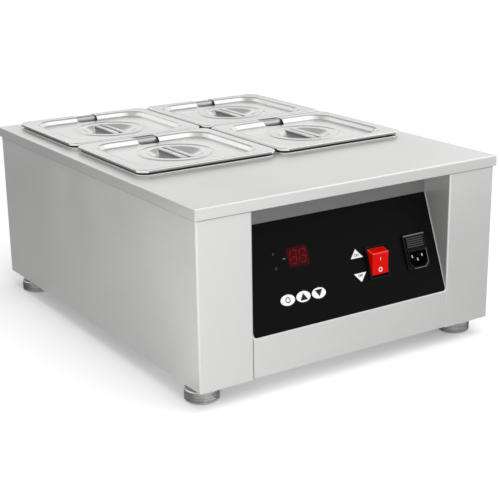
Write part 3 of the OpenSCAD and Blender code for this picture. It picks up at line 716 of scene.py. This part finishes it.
def cut_across(bm, y):
    """Cuts everything in two at one place along Y."""
    everything = bm.verts[:] + bm.edges[:] + bm.faces[:]
    bmesh.ops.bisect_plane(bm, geom=everything, plane_co=(0, y, 0), plane_no=(0, 1, 0), dist=TOUCHING)


def bar_solid(size):
    """A grooved bar along Y with thin ends, its foot sunk below height 0."""
    bm = bmesh.new()
    half, length, thick = size.x / 2, 2 * (DISH_RADIUS + BAR_LAP), size.z
    groove = BAR_GROOVE / 2
    right = [(half, 0), (half, thick), (groove + BAR_GROOVE_SLOPE, thick),
             (groove, thick - BAR_GROOVE_DEPTH)]
    outline = right + [(-x, z) for x, z in reversed(right)]
    section = bm.faces.new([bm.verts.new((x, -length / 2, z)) for x, z in outline])
    extrude(bm, [section], (0, length, 0))
    round_ends(bm, length)
    for way in (-1, 1):
        cut_across(bm, way * (length / 2 - BAR_RUNOUT))
    for v in bm.verts:
        if abs(v.co.y) > length / 2 - BAR_RUNOUT + BAR_LAP:
            v.co.z *= BAR_END
    bend(bm, sharp_edges(bm), BAR_EDGE, steps=2)
    bmesh.ops.translate(bm, vec=(0, 0, -BAR_SINK), verts=bm.verts)
    return bm


print("bar", 2 * (DISH_RADIUS + BAR_LAP), "mm long")

# %% Web and all bars
WEB_INSET = 0.6
WEB_LENGTHS = 16
WELD = 0.2
bar_foot = box_mm("handle_bar_front_left")[0].z
# Web steel painted as the shade under the bar: pale at the dish's floor, dark under the bar.
finishes["rough_web"] = brushed_steel("unpolished steel web", "#A4A4A4", 0.45, 0.3, 1.5, 30, "Y", 0.06,
                                      bar_foot, DISH_DEPTH)


def web_solid(width):
    """The web of painted shade under a bar, from the bar's foot down to the dish."""
    bm = bmesh.new()
    length = 2 * DISH_RADIUS
    rectangle(bm, (width - 2 * WEB_INSET, length))
    round_ends(bm, length)
    extrude(bm, bm.faces[:], (0, 0, -WELD))
    for step in range(1, WEB_LENGTHS):
        cut_across(bm, length * (step / WEB_LENGTHS - 0.5))
    for v in bm.verts:
        if v.co.z < 0:
            v.co.z -= bowl(min(v.co.xy.length, DISH_RADIUS))
    return bm


for corner in CORNERS:
    bar = "handle_bar_" + corner
    low, high = box_mm(bar)
    for name, bm, finish, replaced in (("grooved_bar_", bar_solid(high - low), "pan_steel", [bar]),
                                       ("bar_web_", web_solid(high.x - low.x), "rough_web", ())):
        make_piece(name + corner, bm, centred(bar, low.z), "lid_" + corner, "pan_steel",
                   (finish,), replaced, even=True)

# %% [markdown]
# ## Feet
# Each foot is a turned steel disc on a short neck, with a narrow chamfer round its top painted bright as a
# highlight, and a stud goes up through the base plate. A lathe revolves a section, and so does spin: one
# outline, a full turn, and a bevel on the rims that a turning tool breaks.

# %% Feet
FOOT_HEIGHT = 13.5
FOOT_CHAMFER = 1.0
FOOT_EDGE = 1
FOOT_NECK = 8
FOOT_STUD = 4
FOOT_RIM = 0.2
FOOT_STEPS = 72
BASE_UNDER = box_mm("base_plate")[0].z


def turned(profile, steps):
    """Revolves an outline of radius and height pairs about Z."""
    bm = bmesh.new()
    points = [bm.verts.new((r, 0, z)) for r, z in profile]
    edges = [bm.edges.new(pair) for pair in zip(points, points[1:])]
    bmesh.ops.spin(bm, geom=points + edges, cent=(0, 0, 0), axis=(0, 0, 1), angle=math.tau, steps=steps,
                   use_merge=True)
    bmesh.ops.remove_doubles(bm, verts=bm.verts, dist=TOUCHING)
    bmesh.ops.recalc_face_normals(bm, faces=bm.faces)
    return bm


for corner in CORNERS:
    foot = "foot_" + corner
    low, high = box_mm(foot)
    radius = (high.x - low.x) / 2
    shoulder = FOOT_HEIGHT - FOOT_CHAMFER
    bm = turned([(0, 0), (radius - FOOT_EDGE, 0), (radius, FOOT_EDGE), (radius, shoulder),
                 (radius - FOOT_CHAMFER, FOOT_HEIGHT), (FOOT_NECK, FOOT_HEIGHT), (FOOT_NECK, BASE_UNDER),
                 (FOOT_STUD, BASE_UNDER), (FOOT_STUD, high.z), (0, high.z)], FOOT_STEPS)
    bend(bm, [e for e in sharp_edges(bm) if e.verts[0].co.z < FOOT_HEIGHT + FOOT_EDGE], FOOT_RIM, steps=2)
    # The chamfer takes the painted highlight.
    second_coat(f for f in bm.faces if shoulder < f.calc_center_median().z < FOOT_HEIGHT - TOUCHING)
    make_piece("turned_" + foot, bm, centred(foot, low.z), "chassis", "foot_steel",
               ("foot_steel", "foot_rim"), [foot], even=True)

# %% [markdown]
# ## The panel's own frame
# Everything on the leaning panel is easier to draw flat, with u to the right, v up the slope and w out
# of the panel. The fuse drawer slides straight out, so its joint gives w, and the rocker's hinge is a
# known point of the panel.

# %% Panel frame
ROCKER_V = 50
ROCKER_PIVOT = 0.5
FILM = 0.5
w_axis = Vector(joints["fuse_drawer_pull"]["axis"])
u_axis = Vector((1, 0, 0))
v_axis = w_axis.cross(u_axis)
hinge = Vector(joints["rocker_tilt"]["pos_m"]) / MM
ROCKER_U = hinge.x
lean = Matrix((u_axis, v_axis, w_axis)).transposed().to_4x4()
panel = Matrix.Translation(hinge) @ lean @ Matrix.Translation((-ROCKER_U, -ROCKER_V, -ROCKER_PIVOT))


def on_panel(u, v, w=FILM):
    """A place on the panel, by default on its film."""
    return panel @ Matrix.Translation((u, v, w))


print("panel leans", round(math.degrees(math.asin(w_axis.z)), 1), "degrees")

# %% [markdown]
# ## Keys
# The three keys are white oval caps with a softly rounded edge. A filled circle is stretched to the
# oval, raised, and bevelled; the stem below presses a switch on the board. The film's opening is a
# little larger than the key, so black ink on the sheet below keeps the gap between them dark.

# %% Keys
KEY_HEIGHT = 11.5
KEY_SLIM = 1.0
KEY_BOTTOM = 0.55
KEY_CAP = 0.75
KEY_EDGE = 0.5
KEY_STEM = 2.5
KEY_STEM_LENGTH = 5.5
OVAL_POINTS = 64
STEM_POINTS = 32


def oval_face(bm, size):
    """A flat oval of a width and a height."""
    corners = polygon(bm, OVAL_POINTS, 0.5)
    bmesh.ops.scale(bm, vec=(*size, 1), verts=corners)
    return corners[0].link_faces[0]


def key_solid(width):
    """An oval cap with its stem, on the panel's sheet."""
    bm = bmesh.new()
    oval_face(bm, (width, KEY_HEIGHT))
    bmesh.ops.translate(bm, vec=(0, 0, KEY_BOTTOM), verts=bm.verts)
    extrude(bm, bm.faces[:], (0, 0, KEY_CAP))
    bend(bm, [e for e in bm.edges if min(v.co.z for v in e.verts) > KEY_BOTTOM], KEY_EDGE, steps=4)
    stem = bmesh.ops.create_cone(bm, cap_ends=True, segments=STEM_POINTS, radius1=KEY_STEM,
                                 radius2=KEY_STEM, depth=KEY_STEM_LENGTH + KEY_BOTTOM)["verts"]
    bmesh.ops.translate(bm, vec=(0, 0, (KEY_BOTTOM - KEY_STEM_LENGTH) / 2), verts=stem)
    return bm


print("keys", KEY_HEIGHT, "mm high")

# %% Keys and the ink below them
FILM_OPENING = (19.5, 13.9)
STEM_OPENING = (5.8, 5.8)
INK_REACH = (0.01, 0.04)
KEYS_V = 31.7
key_u = {}


def surround(bm, outer, inner, height):
    """Makes two flat outlines into a solid that fills the space between them."""
    join_outlines(bm, outer, inner)
    bmesh.ops.delete(bm, geom=[inner], context="FACES")
    extrude(bm, bm.faces[:], (0, 0, height))


for way in ("set", "up", "down"):
    key = "key_" + way
    low, high = box_mm(key)
    key_u[way] = (low.x + high.x) / 2
    make_piece("oval_" + key, key_solid(high.x - low.x - KEY_SLIM), on_panel(key_u[way], KEYS_V, 0),
               key, "key_white", replaced=[key], even=True)
    bm = bmesh.new()
    surround(bm, oval_face(bm, FILM_OPENING), oval_face(bm, STEM_OPENING), INK_REACH[1] - INK_REACH[0])
    make_piece("key_ink_" + way, bm, on_panel(key_u[way], KEYS_V, INK_REACH[0]), "chassis", "film_black")

# %% [markdown]
# ## Printed signs
# Ink is about a hundredth of a millimetre thick. The signs are thin plates just proud of their
# surface: triangles on the keys and beside the rocker, a ring on the first key, and a short dash
# beside the display. Letters come from a text curve, made a mesh before it is placed.

# %% Flat shapes
RING_POINTS = 40


def triangle(width, height, way):
    """A flat triangle of the given size, its tip towards +Y or -Y."""
    bm = bmesh.new()
    corners = polygon(bm, 3, 1)
    tip = min(corners, key=lambda v: abs(v.co.x))
    # A triangle in a circle of radius 1 is the root of 3 wide and 1.5 high.
    stretch = (width / math.sqrt(3), way * math.copysign(height / 1.5, tip.co.y), 1)
    bmesh.ops.scale(bm, vec=stretch, verts=corners)
    bmesh.ops.translate(bm, vec=(0, -way * height / 6, 0), verts=corners)
    return bm


def ring(outer, inner):
    """A flat ring of two radii."""
    bm = bmesh.new()
    disc = polygon(bm, RING_POINTS, outer)[0].link_faces[0]
    press(bm, disc, outer - inner, 0)
    bmesh.ops.delete(bm, geom=[disc], context="FACES")
    return bm


def dash(width, height):
    """A flat bar."""
    bm = bmesh.new()
    rectangle(bm, (width, height))
    return bm


print("rings have", RING_POINTS, "points")

# %% Letters
LETTER_BOLD = 0.08


def letters(word, size):
    """A short word as a flat mesh, centred."""
    curve = bpy.data.curves.new(word, "FONT")
    curve.body = word
    curve.size = size
    curve.offset = LETTER_BOLD
    curve.align_x = "CENTER"
    curve.align_y = "CENTER"
    holder = bpy.data.objects.new(word, curve)
    flat = bpy.data.meshes.new_from_object(holder)
    bm = bmesh.new()
    bm.from_mesh(flat)
    bmesh.ops.remove_doubles(bm, verts=bm.verts, dist=TOUCHING)
    bpy.data.objects.remove(holder)
    bpy.data.curves.remove(curve)
    bpy.data.meshes.remove(flat)
    return bm


print("letters drawn", LETTER_BOLD, "mm bolder")

# %% Print the signs
PRINT = 0.04
INK_SLOTS = {"ink_white": "key_white", "ink_grey": "lamp_clear", "ink_black": "film_black",
             "segment_red": "window_red"}
KEY_TOP = KEY_BOTTOM + KEY_CAP
KEY_RING = (3.1, 2.1)
KEY_SIGN = (9.6, 7.4)
FILM_SIGN = (16.5, 9.8)
FILM_SIGN_U = 17.5
WORD_SIZE = 3.9
WORD_OFF_MIDDLE = FILM_SIGN[1] / 5


def print_sign(name, bm, place, body, ink):
    """Gives a flat sign the thickness of ink and puts it on its surface."""
    extrude(bm, bm.faces[:], (0, 0, PRINT))
    make_piece(name, bm, place, body, INK_SLOTS[ink], (ink,))


print_sign("key_sign_set", ring(*KEY_RING), on_panel(key_u["set"], KEYS_V, KEY_TOP), "key_set",
           "ink_black")
for way, tip, word, sign_v in (("up", 1, "ON", 63.4), ("down", -1, "OFF", 37.2)):
    print_sign("key_sign_" + way, triangle(*KEY_SIGN, tip), on_panel(key_u[way], KEYS_V, KEY_TOP),
               "key_" + way, "ink_black")
    print_sign("film_sign_" + way, triangle(*FILM_SIGN, tip), on_panel(FILM_SIGN_U, sign_v),
               "chassis", "ink_white")
    word_place = on_panel(FILM_SIGN_U, sign_v - tip * WORD_OFF_MIDDLE, FILM + PRINT)
    print_sign("film_word_" + way, letters(word, WORD_SIZE), word_place, "chassis", "ink_black")

# %% [markdown]
# ## Rocker
# The rocker is one moulding with a slightly hollow face between two crests and end faces that slope out
# to its foot, tilted so that its upper half stands out. Its section is drawn once, with the hollow as a
# formula, extruded across and bevelled. The bend over its upper crest gets a paler red as a painted
# highlight. The usual I and O are printed on its face.

# %% Rocker
ROCKER_WIDTH = 22
ROCKER_HALF = 15.1
ROCKER_SKIRT = 4
ROCKER_CREST = (12.2, 7.2)
ROCKER_DIP = 0.7
ROCKER_FACE_STEPS = 8
ROCKER_EDGE = 0.9
travel = math.radians(joints["rocker_tilt"]["range_deg"][1])
rocker_place = on_panel(ROCKER_U, ROCKER_V, ROCKER_PIVOT) @ Matrix.Rotation(travel / 2, 4, "X")


def rocker_height(along):
    """Height of the face over the pivot, at a share of the way from the middle to a crest."""
    return ROCKER_CREST[1] - ROCKER_DIP * (1 - along ** 2)


bm = bmesh.new()
shares = [1 - 2 * i / ROCKER_FACE_STEPS for i in range(ROCKER_FACE_STEPS + 1)]
outline = [(ROCKER_HALF, -ROCKER_SKIRT)]
outline += [(share * ROCKER_CREST[0], rocker_height(share)) for share in shares]
outline += [(-ROCKER_HALF, -ROCKER_SKIRT)]
section = bm.faces.new([bm.verts.new((-ROCKER_WIDTH / 2, v, w)) for v, w in outline])
extrude(bm, [section], (ROCKER_WIDTH, 0, 0))
bends = bend(bm, sharp_edges(bm), ROCKER_EDGE, steps=3)
# The bend over the upper crest is painted as a highlight.
second_coat(f for f in bends if f.calc_center_median().y > ROCKER_CREST[0] - ROCKER_EDGE)
make_piece("rocker_cap", bm, rocker_place, "rocker", "rocker_red", ("rocker_red", "rocker_edge"),
           ["rocker"], even=True)

# %% Signs on the rocker
ROCKER_DASH = (0.6, 3.6)
ROCKER_RING = (2.6, 1.7)

for sign, flat, at in (("on", dash(*ROCKER_DASH), 5.0), ("off", ring(*ROCKER_RING), -7.0)):
    along = at / ROCKER_CREST[0]
    slope = math.atan(2 * ROCKER_DIP * along / ROCKER_CREST[0])
    on_face = Matrix.Translation((0, at, rocker_height(along))) @ Matrix.Rotation(slope, 4, "X")
    print_sign("rocker_sign_" + sign, flat, rocker_place @ on_face, "rocker", "ink_white")

# %% [markdown]
# ## Display
# Behind the red window lie two unlit seven-segment digits, only a little lighter than the window. Each
# segment is a bar with pointed ends; one bar is made and laid seven times for each digit, and a shear
# gives the digits their lean.

# %% Display digits
WINDOW_U = sum(corner.x for corner in box_mm("display_window")) / 2
WINDOW_V = 74
DIGIT = (7.8, 13.6)
DIGIT_PITCH = 11.6
DIGIT_LEAN = math.radians(7)
SEGMENT_WIDTH = 2.0
SEGMENT_GAP = 0.3
DISPLAY_DASH = (3.6, 1.1)
DASH_AT = (-73.5, 74.2)


def segment(bm, length, place):
    """One flat bar with pointed ends, along X before it is placed."""
    flat = polygon(bm, 6, 1)
    tip_x = max(v.co.x for v in flat)
    for v in flat:
        at_tip = abs(v.co.x) > tip_x - TOUCHING
        v.co.x = math.copysign(length / 2 - (0 if at_tip else SEGMENT_WIDTH / 2), v.co.x)
        v.co.y = 0 if at_tip else math.copysign(SEGMENT_WIDTH / 2, v.co.y)
    bmesh.ops.transform(bm, matrix=place, verts=flat)


bm = bmesh.new()
upright = Matrix.Rotation(math.pi / 2, 4, "Z")
leaning = Matrix.Identity(4)
leaning[0][1] = math.tan(DIGIT_LEAN)
for side in (-0.5, 0.5):
    digit = Matrix.Translation((side * DIGIT_PITCH, 0, 0)) @ leaning
    for level in (-0.5, 0, 0.5):
        segment(bm, DIGIT[0] - SEGMENT_GAP, digit @ Matrix.Translation((0, level * DIGIT[1], 0)))
    for right in (-0.5, 0.5):
        for up in (-0.25, 0.25):
            stand = Matrix.Translation((right * DIGIT[0], up * DIGIT[1], 0)) @ upright
            segment(bm, DIGIT[1] / 2 - SEGMENT_GAP, digit @ stand)
print_sign("display_digits", bm, on_panel(WINDOW_U, WINDOW_V), "chassis", "segment_red")
print_sign("display_dash", dash(*DISPLAY_DASH), on_panel(*DASH_AT), "chassis", "ink_grey")

# %% [markdown]
# ## Inlet bezel
# Round the inlet's socket runs a raised bezel with two cut corners, which tell the plug which way up it
# goes. Its lower and right edges are painted pale as a highlight. Two outlines with the same number of
# corners are bridged and extruded, and the painted highlight is the same outline, drawn narrower and cut
# down to two sides.

# %% Inlet bezel
SOCKET_AT = (97.4, 43.5)
BEZEL = (26.6, 21.4)
SOCKET = (24.6, 17.2)
CUT_CORNER = 5.0
BLUNT_CORNER = 1.0
BEZEL_HEIGHT = 0.4


def out_of_panel(node):
    """How far a node stands out of the panel, in millimetres."""
    return max((panel.inverted() @ (v.co / MM)).z for v in nodes[node].data.vertices)


def socket_face(bm, size):
    """A flat face with two cut lower corners and two blunt upper ones."""
    before = set(bm.faces)
    rectangle(bm, size)
    for way, cut in ((-1, CUT_CORNER), (1, BLUNT_CORNER)):
        face = (set(bm.faces) - before).pop()
        pair = [v for v in face.verts if v.co.y * way > size[1] / 2 - TOUCHING]
        bend(bm, pair, cut, 1, "VERTICES")
    return (set(bm.faces) - before).pop()


housing_w = out_of_panel("inlet_housing")
bm = bmesh.new()
surround(bm, socket_face(bm, BEZEL), socket_face(bm, SOCKET), BEZEL_HEIGHT)
make_piece("inlet_bezel", bm, on_panel(*SOCKET_AT, housing_w), "chassis", "housing_black")

# %% Painted highlight on the bezel's edge
HIGHLIGHT_WIDTH = 0.7
HIGHLIGHT_HEIGHT = 0.1

bm = bmesh.new()
highlight_ring = socket_face(bm, BEZEL)
press(bm, highlight_ring, HIGHLIGHT_WIDTH, 0)
bmesh.ops.delete(bm, geom=[highlight_ring], context="FACES")
# Only the lower and right sides keep the painted highlight.
middles = {face: face.calc_center_median() for face in bm.faces}
unlit_sides = [face for face, at in middles.items() if at.y > BEZEL[1] / 4 or at.x < -BEZEL[0] / 4]
bmesh.ops.delete(bm, geom=unlit_sides, context="FACES")
extrude(bm, bm.faces[:], (0, 0, HIGHLIGHT_HEIGHT))
make_piece("inlet_worn_edge", bm, on_panel(*SOCKET_AT, housing_w + BEZEL_HEIGHT), "chassis",
           "housing_black", ("worn_nylon",))

# %% [markdown]
# ## Fuse drawer, top edge and contact blades
# The fuse drawer has a broad face with ribs for the fingernail, painted lighter as a highlight, the inlet's
# top edge gets a thin painted highlight like the bezel, and three tinned blades stand in the socket, each
# with a spade for its wire behind. All are plain boxes, so a scaled cube is the shortest way to each, with
# a bevel on the drawer and the blades.

# %% Fuse drawer
DRAWER_AT = (97.0, 62.2)
DRAWER_FACE = (24.6, 12.4)
DRAWER_CLEAR = 0.05
RIB = (23.4, 1.0)
RIBS = 5
RIB_PITCH = 2.4
RIB_HEIGHT = 0.4
BOX_EDGE = 0.4


def block(bm, centre, size, low, high):
    """A box on the panel, between two heights over it."""
    cube = bmesh.ops.create_cube(bm, size=1)["verts"]
    bmesh.ops.scale(bm, vec=(*size, high - low), verts=cube)
    bmesh.ops.translate(bm, vec=(*centre, (low + high) / 2), verts=cube)


drawer_w = out_of_panel("fuse_drawer")
bm = bmesh.new()
block(bm, (0, 0), DRAWER_FACE, housing_w + DRAWER_CLEAR, drawer_w + DRAWER_CLEAR)
bend(bm, bm.edges[:], BOX_EDGE, steps=2)
plain = set(bm.faces)
for rib in range(RIBS):
    block(bm, (0, (rib - (RIBS - 1) / 2) * RIB_PITCH), RIB, drawer_w, drawer_w + RIB_HEIGHT)
# The ribs get the second finish, a painted highlight.
second_coat(set(bm.faces) - plain)
make_piece("drawer_ribs", bm, on_panel(*DRAWER_AT, 0), "fuse_drawer", "housing_black",
           ("housing_black", "ribbed_nylon"))

# %% Top edge and contact blades
TOP_EDGE = (29.4, 1.5)
TOP_EDGE_AT = (97.0, 70.3)
BLADE = (2, 3.4)
BLADES_AT = ((-7, 3.2), (7, 3.2), (0, -0.8))
BLADE_FOOT = -14
BLADE_BELOW = 1.2
SPADE = (0.8, 6)
SPADE_REACH = (-34, -26)

bm = bmesh.new()
# The inlet's top edge: a thin strip of painted highlight.
block(bm, TOP_EDGE_AT, TOP_EDGE, housing_w, housing_w + HIGHLIGHT_HEIGHT)
make_piece("inlet_top_edge", bm, panel, "chassis", "housing_black", ("worn_nylon",))

bm = bmesh.new()
for centre in BLADES_AT:
    block(bm, centre, BLADE, BLADE_FOOT, housing_w - BLADE_BELOW)
bend(bm, bm.edges[:], BOX_EDGE, steps=2)
for centre in BLADES_AT:
    block(bm, centre, SPADE, *SPADE_REACH)
make_piece("contact_blades", bm, on_panel(*SOCKET_AT, 0), "chassis", "contact_metal",
           replaced=["inlet_pins"], even=True)

# %% [markdown]
# ## Soft edges on the moulded housings
# The switch frame, the inlet and its drawer have the right shape already. A moulding has no sharp
# edges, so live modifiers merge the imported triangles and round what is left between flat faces.

# %% Soft edges
SOFT_EDGES = {"rocker_housing": 0.5, "inlet_housing": 0.4, "fuse_drawer": 0.25}
SOFT_MERGE = 0.01
SOFT_ANGLE = math.radians(40)

for name, width in SOFT_EDGES.items():
    weld = nodes[name].modifiers.new("Weld", "WELD")
    weld.merge_threshold = SOFT_MERGE * MM
    soft = nodes[name].modifiers.new("Bevel", "BEVEL")
    soft.width = width * MM
    soft.segments = 2
    soft.limit_method = "ANGLE"
    soft.angle_limit = SOFT_ANGLE
    print("softened", name, "by", width, "mm")

# %% [markdown]
# ## Floor and surroundings
# The object stands on a plain white floor. The world is white for the camera, for reflections and for
# clear parts, and a grey sky for soft light, and the floor gets the same small lift for those rays, so
# that it stays white to the horizon and still takes the object's shadow.

# %% World
SKY = 0.5
WHITE = linear("#FFFFFF")
world = bpy.data.worlds.new("studio")
world.use_nodes = True
scene.world = world


def background_rays(tree):
    """1 for the rays that show the background as it is seen, 0 for those that carry soft light."""
    ray = add(tree, "LightPath").outputs
    seen = add(tree, "Math", {0: ray["Is Camera Ray"], 1: ray["Is Glossy Ray"]}, operation="MAXIMUM")
    return add(tree, "Math", {0: seen, 1: ray["Is Transmission Ray"]}, operation="MAXIMUM")


tree = world.node_tree
tree.nodes.clear()
sky = add(tree, "Background", {"Color": WHITE, "Strength": SKY})
white = add(tree, "Background", {"Color": WHITE, "Strength": 1.0})
both = add(tree, "MixShader", {0: background_rays(tree), 1: sky, 2: white})
add(tree, "OutputWorld", {"Surface": both})
print("sky light", SKY)

# %% Floor
FLOOR_LIFT = 0.18
FLOOR_SIZE = (14, 14)


def stage_plane(name, size, material):
    """A flat rectangle of the studio, not part of the object."""
    bm = bmesh.new()
    rectangle(bm, size)
    mesh = bpy.data.meshes.new(name)
    bm.to_mesh(mesh)
    bm.free()
    mesh.materials.append(material)
    plane = bpy.data.objects.new(name, mesh)
    scene.collection.objects.link(plane)
    return plane


# Paper: an even matt white.
made, tree = new_material("white studio paper")
paper = add(tree, "BsdfDiffuse", {"Color": linear("#EEEEEE")})
lift = add(tree, "Math", {0: background_rays(tree), 1: FLOOR_LIFT}, operation="MULTIPLY")
glow = add(tree, "Emission", {"Strength": lift})
lifted = add(tree, "AddShader", {0: paper, 1: glow})
add(tree, "OutputMaterial", {"Surface": lifted})
stage_plane("floor", FLOOR_SIZE, made)
print("floor lift", FLOOR_LIFT)

# %% [markdown]
# ## Cards for the metal
# A white room alone would make steel look like paper, because metal shows nothing but its surroundings.
# A product studio therefore lays and hangs cards where the metal mirrors them: grey ones behind the left
# side, a pale one in front of the right, small ones beside each foot, grey ones above the lids' hollows,
# white ones for the walls of their panels, and a thin dark one at the horizon for their edges. The lying
# ones are graded, because a floor's tone changes with distance. All are seen only in reflections and
# throw no shadow.

# %% Lying cards
MIRRORED = math.radians(33)
CARD_LIFT = 0.002
FOOT_CARD = (0.05, 0.06)
FOOT_GREYS = ("#D0D0D0", "#3C3C3C")
FOOT_CARDS_AT = ((-0.034, -0.002), (0.036, -0.014))


def studio_card(name, size, grey, strength=1.0, far_grey=None):
    """A card that shows only in reflections, graded from its near end to its middle."""
    made, tree = new_material(name)
    place = add(tree, "TexCoord").outputs["Object"]
    along = add(tree, "SeparateXYZ", {"Vector": place}).outputs["Y"]
    share = add(tree, "MapRange", {"Value": along, "From Min": -size[1] / 2, "From Max": 0.0})
    shade = add(tree, "Mix", {
        "Factor": share, 6: linear(grey), 7: linear(far_grey or grey)}, data_type="RGBA")
    light = add(tree, "Emission", {"Color": shade.outputs[2], "Strength": strength})
    add(tree, "OutputMaterial", {"Surface": light})
    card = stage_plane(name, size, made)
    card.visible_camera = card.visible_diffuse = False
    card.visible_transmission = card.visible_shadow = False
    return card


lying = [
    ("left card", (0.7, 2.0), ("#B0B0B0", "#5C5C5C"), (-0.48, 0.84), MIRRORED),
    ("right card", (1.2, 1.2), ("#F8F8F8", "#6E6E6E"), (0.495, -0.394), MIRRORED - math.pi / 2)]
for corner in CORNERS:
    low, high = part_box("foot_" + corner)
    for x, y in FOOT_CARDS_AT:
        beside = ((low.x + high.x) / 2 + x, (low.y + high.y) / 2 + y)
        lying.append(("foot card", FOOT_CARD, FOOT_GREYS, beside, 0))

for name, size, (near_grey, far_grey), place, turn in lying:
    card = studio_card(name, size, near_grey, far_grey=far_grey)
    card.location = (*place, CARD_LIFT)
    card.rotation_euler.z = turn
print(len(lying), "cards lie on the floor")



# %% Hanging cards
def face_to(thing, place, aim):
    """Puts a lamp or a card at a place, looking at a point."""
    thing.location = place
    thing.rotation_euler = (Vector(aim) - Vector(place)).to_track_quat("-Z", "Y").to_euler()


hanging = (
    ("left wall card", (0.9, 0.5), "#868686", 1.0, (-0.69, 0.86, 0.22), 0.1),
    ("horizon card", (1.8, 0.42), "#383838", 1.0, (0.9, 1.25, 0.2), 0.2),
    ("back card", (1.5, 1.4), "#A4A4A4", 1.0, (0.35, 0.89, 1.42), 0.2),
    ("top card", (1.1, 1.1), "#B8B8B8", 1.0, (-0.25, 0.3, 1.8), 0.2),
    ("wall card", (0.42, 0.4), "#FFFFFF", 1.2, (-0.31, 1.2, 1.02), 0.2),
    ("front card", (1.1, 1.1), "#FFFFFF", 1.4, (0.82, -0.42, 1.36), 0.2))
for name, size, grey, strength, place, aim_height in hanging:
    face_to(studio_card(name, size, grey, strength), place, (0, 0, aim_height))
print(len(hanging), "cards hang round the object")

# %% [markdown]
# ## Light and camera
# One wide sun from the front and above, as soft as a large softbox, lights the floor evenly all the way
# back, and a weaker softbox from the front left opens up the black panel. Neither shows in reflections,
# where the cards do that work. The camera stands where the photographer stood.

# %% Lamps
key_light = bpy.data.lights.new("key light", "SUN")
key_light.energy = 1.6
key_light.angle = math.radians(60)
fill_light = bpy.data.lights.new("fill light", "AREA")
fill_light.energy = 8
fill_light.size = 1.0

for light, place, aim in ((key_light, (0.3, -0.7, 2.0), (0, 0, 0)),
                          (fill_light, (-0.7, -1.7, 1.0), (0, -0.2, 0.1))):
    lamp = bpy.data.objects.new(light.name, light)
    scene.collection.objects.link(lamp)
    lamp.visible_glossy = False
    face_to(lamp, place, aim)
    print(light.name, light.energy)

# %% Camera
AZIMUTH = math.radians(-32.87)
ELEVATION = math.radians(17.35)
ROLL = math.radians(-0.8)
DISTANCE = 1.5
TARGET = Vector((0.04506, 0.03109, 0.05835))
LENS_MM = 84.87
SENSOR_MM = 36
camera_data = bpy.data.cameras.new("camera")
camera_data.lens = LENS_MM
camera_data.sensor_width = SENSOR_MM
camera = bpy.data.objects.new("camera", camera_data)
scene.collection.objects.link(camera)
looking = Euler((math.pi / 2 - ELEVATION, 0, AZIMUTH)).to_quaternion() @ Quaternion((0, 0, 1), ROLL)
camera.rotation_mode = "QUATERNION"
camera.rotation_quaternion = looking
camera.location = TARGET + looking @ Vector((0, 0, DISTANCE))
scene.camera = camera
scene.view_settings.view_transform = "Standard"
print("camera at", [round(c, 3) for c in camera.location])
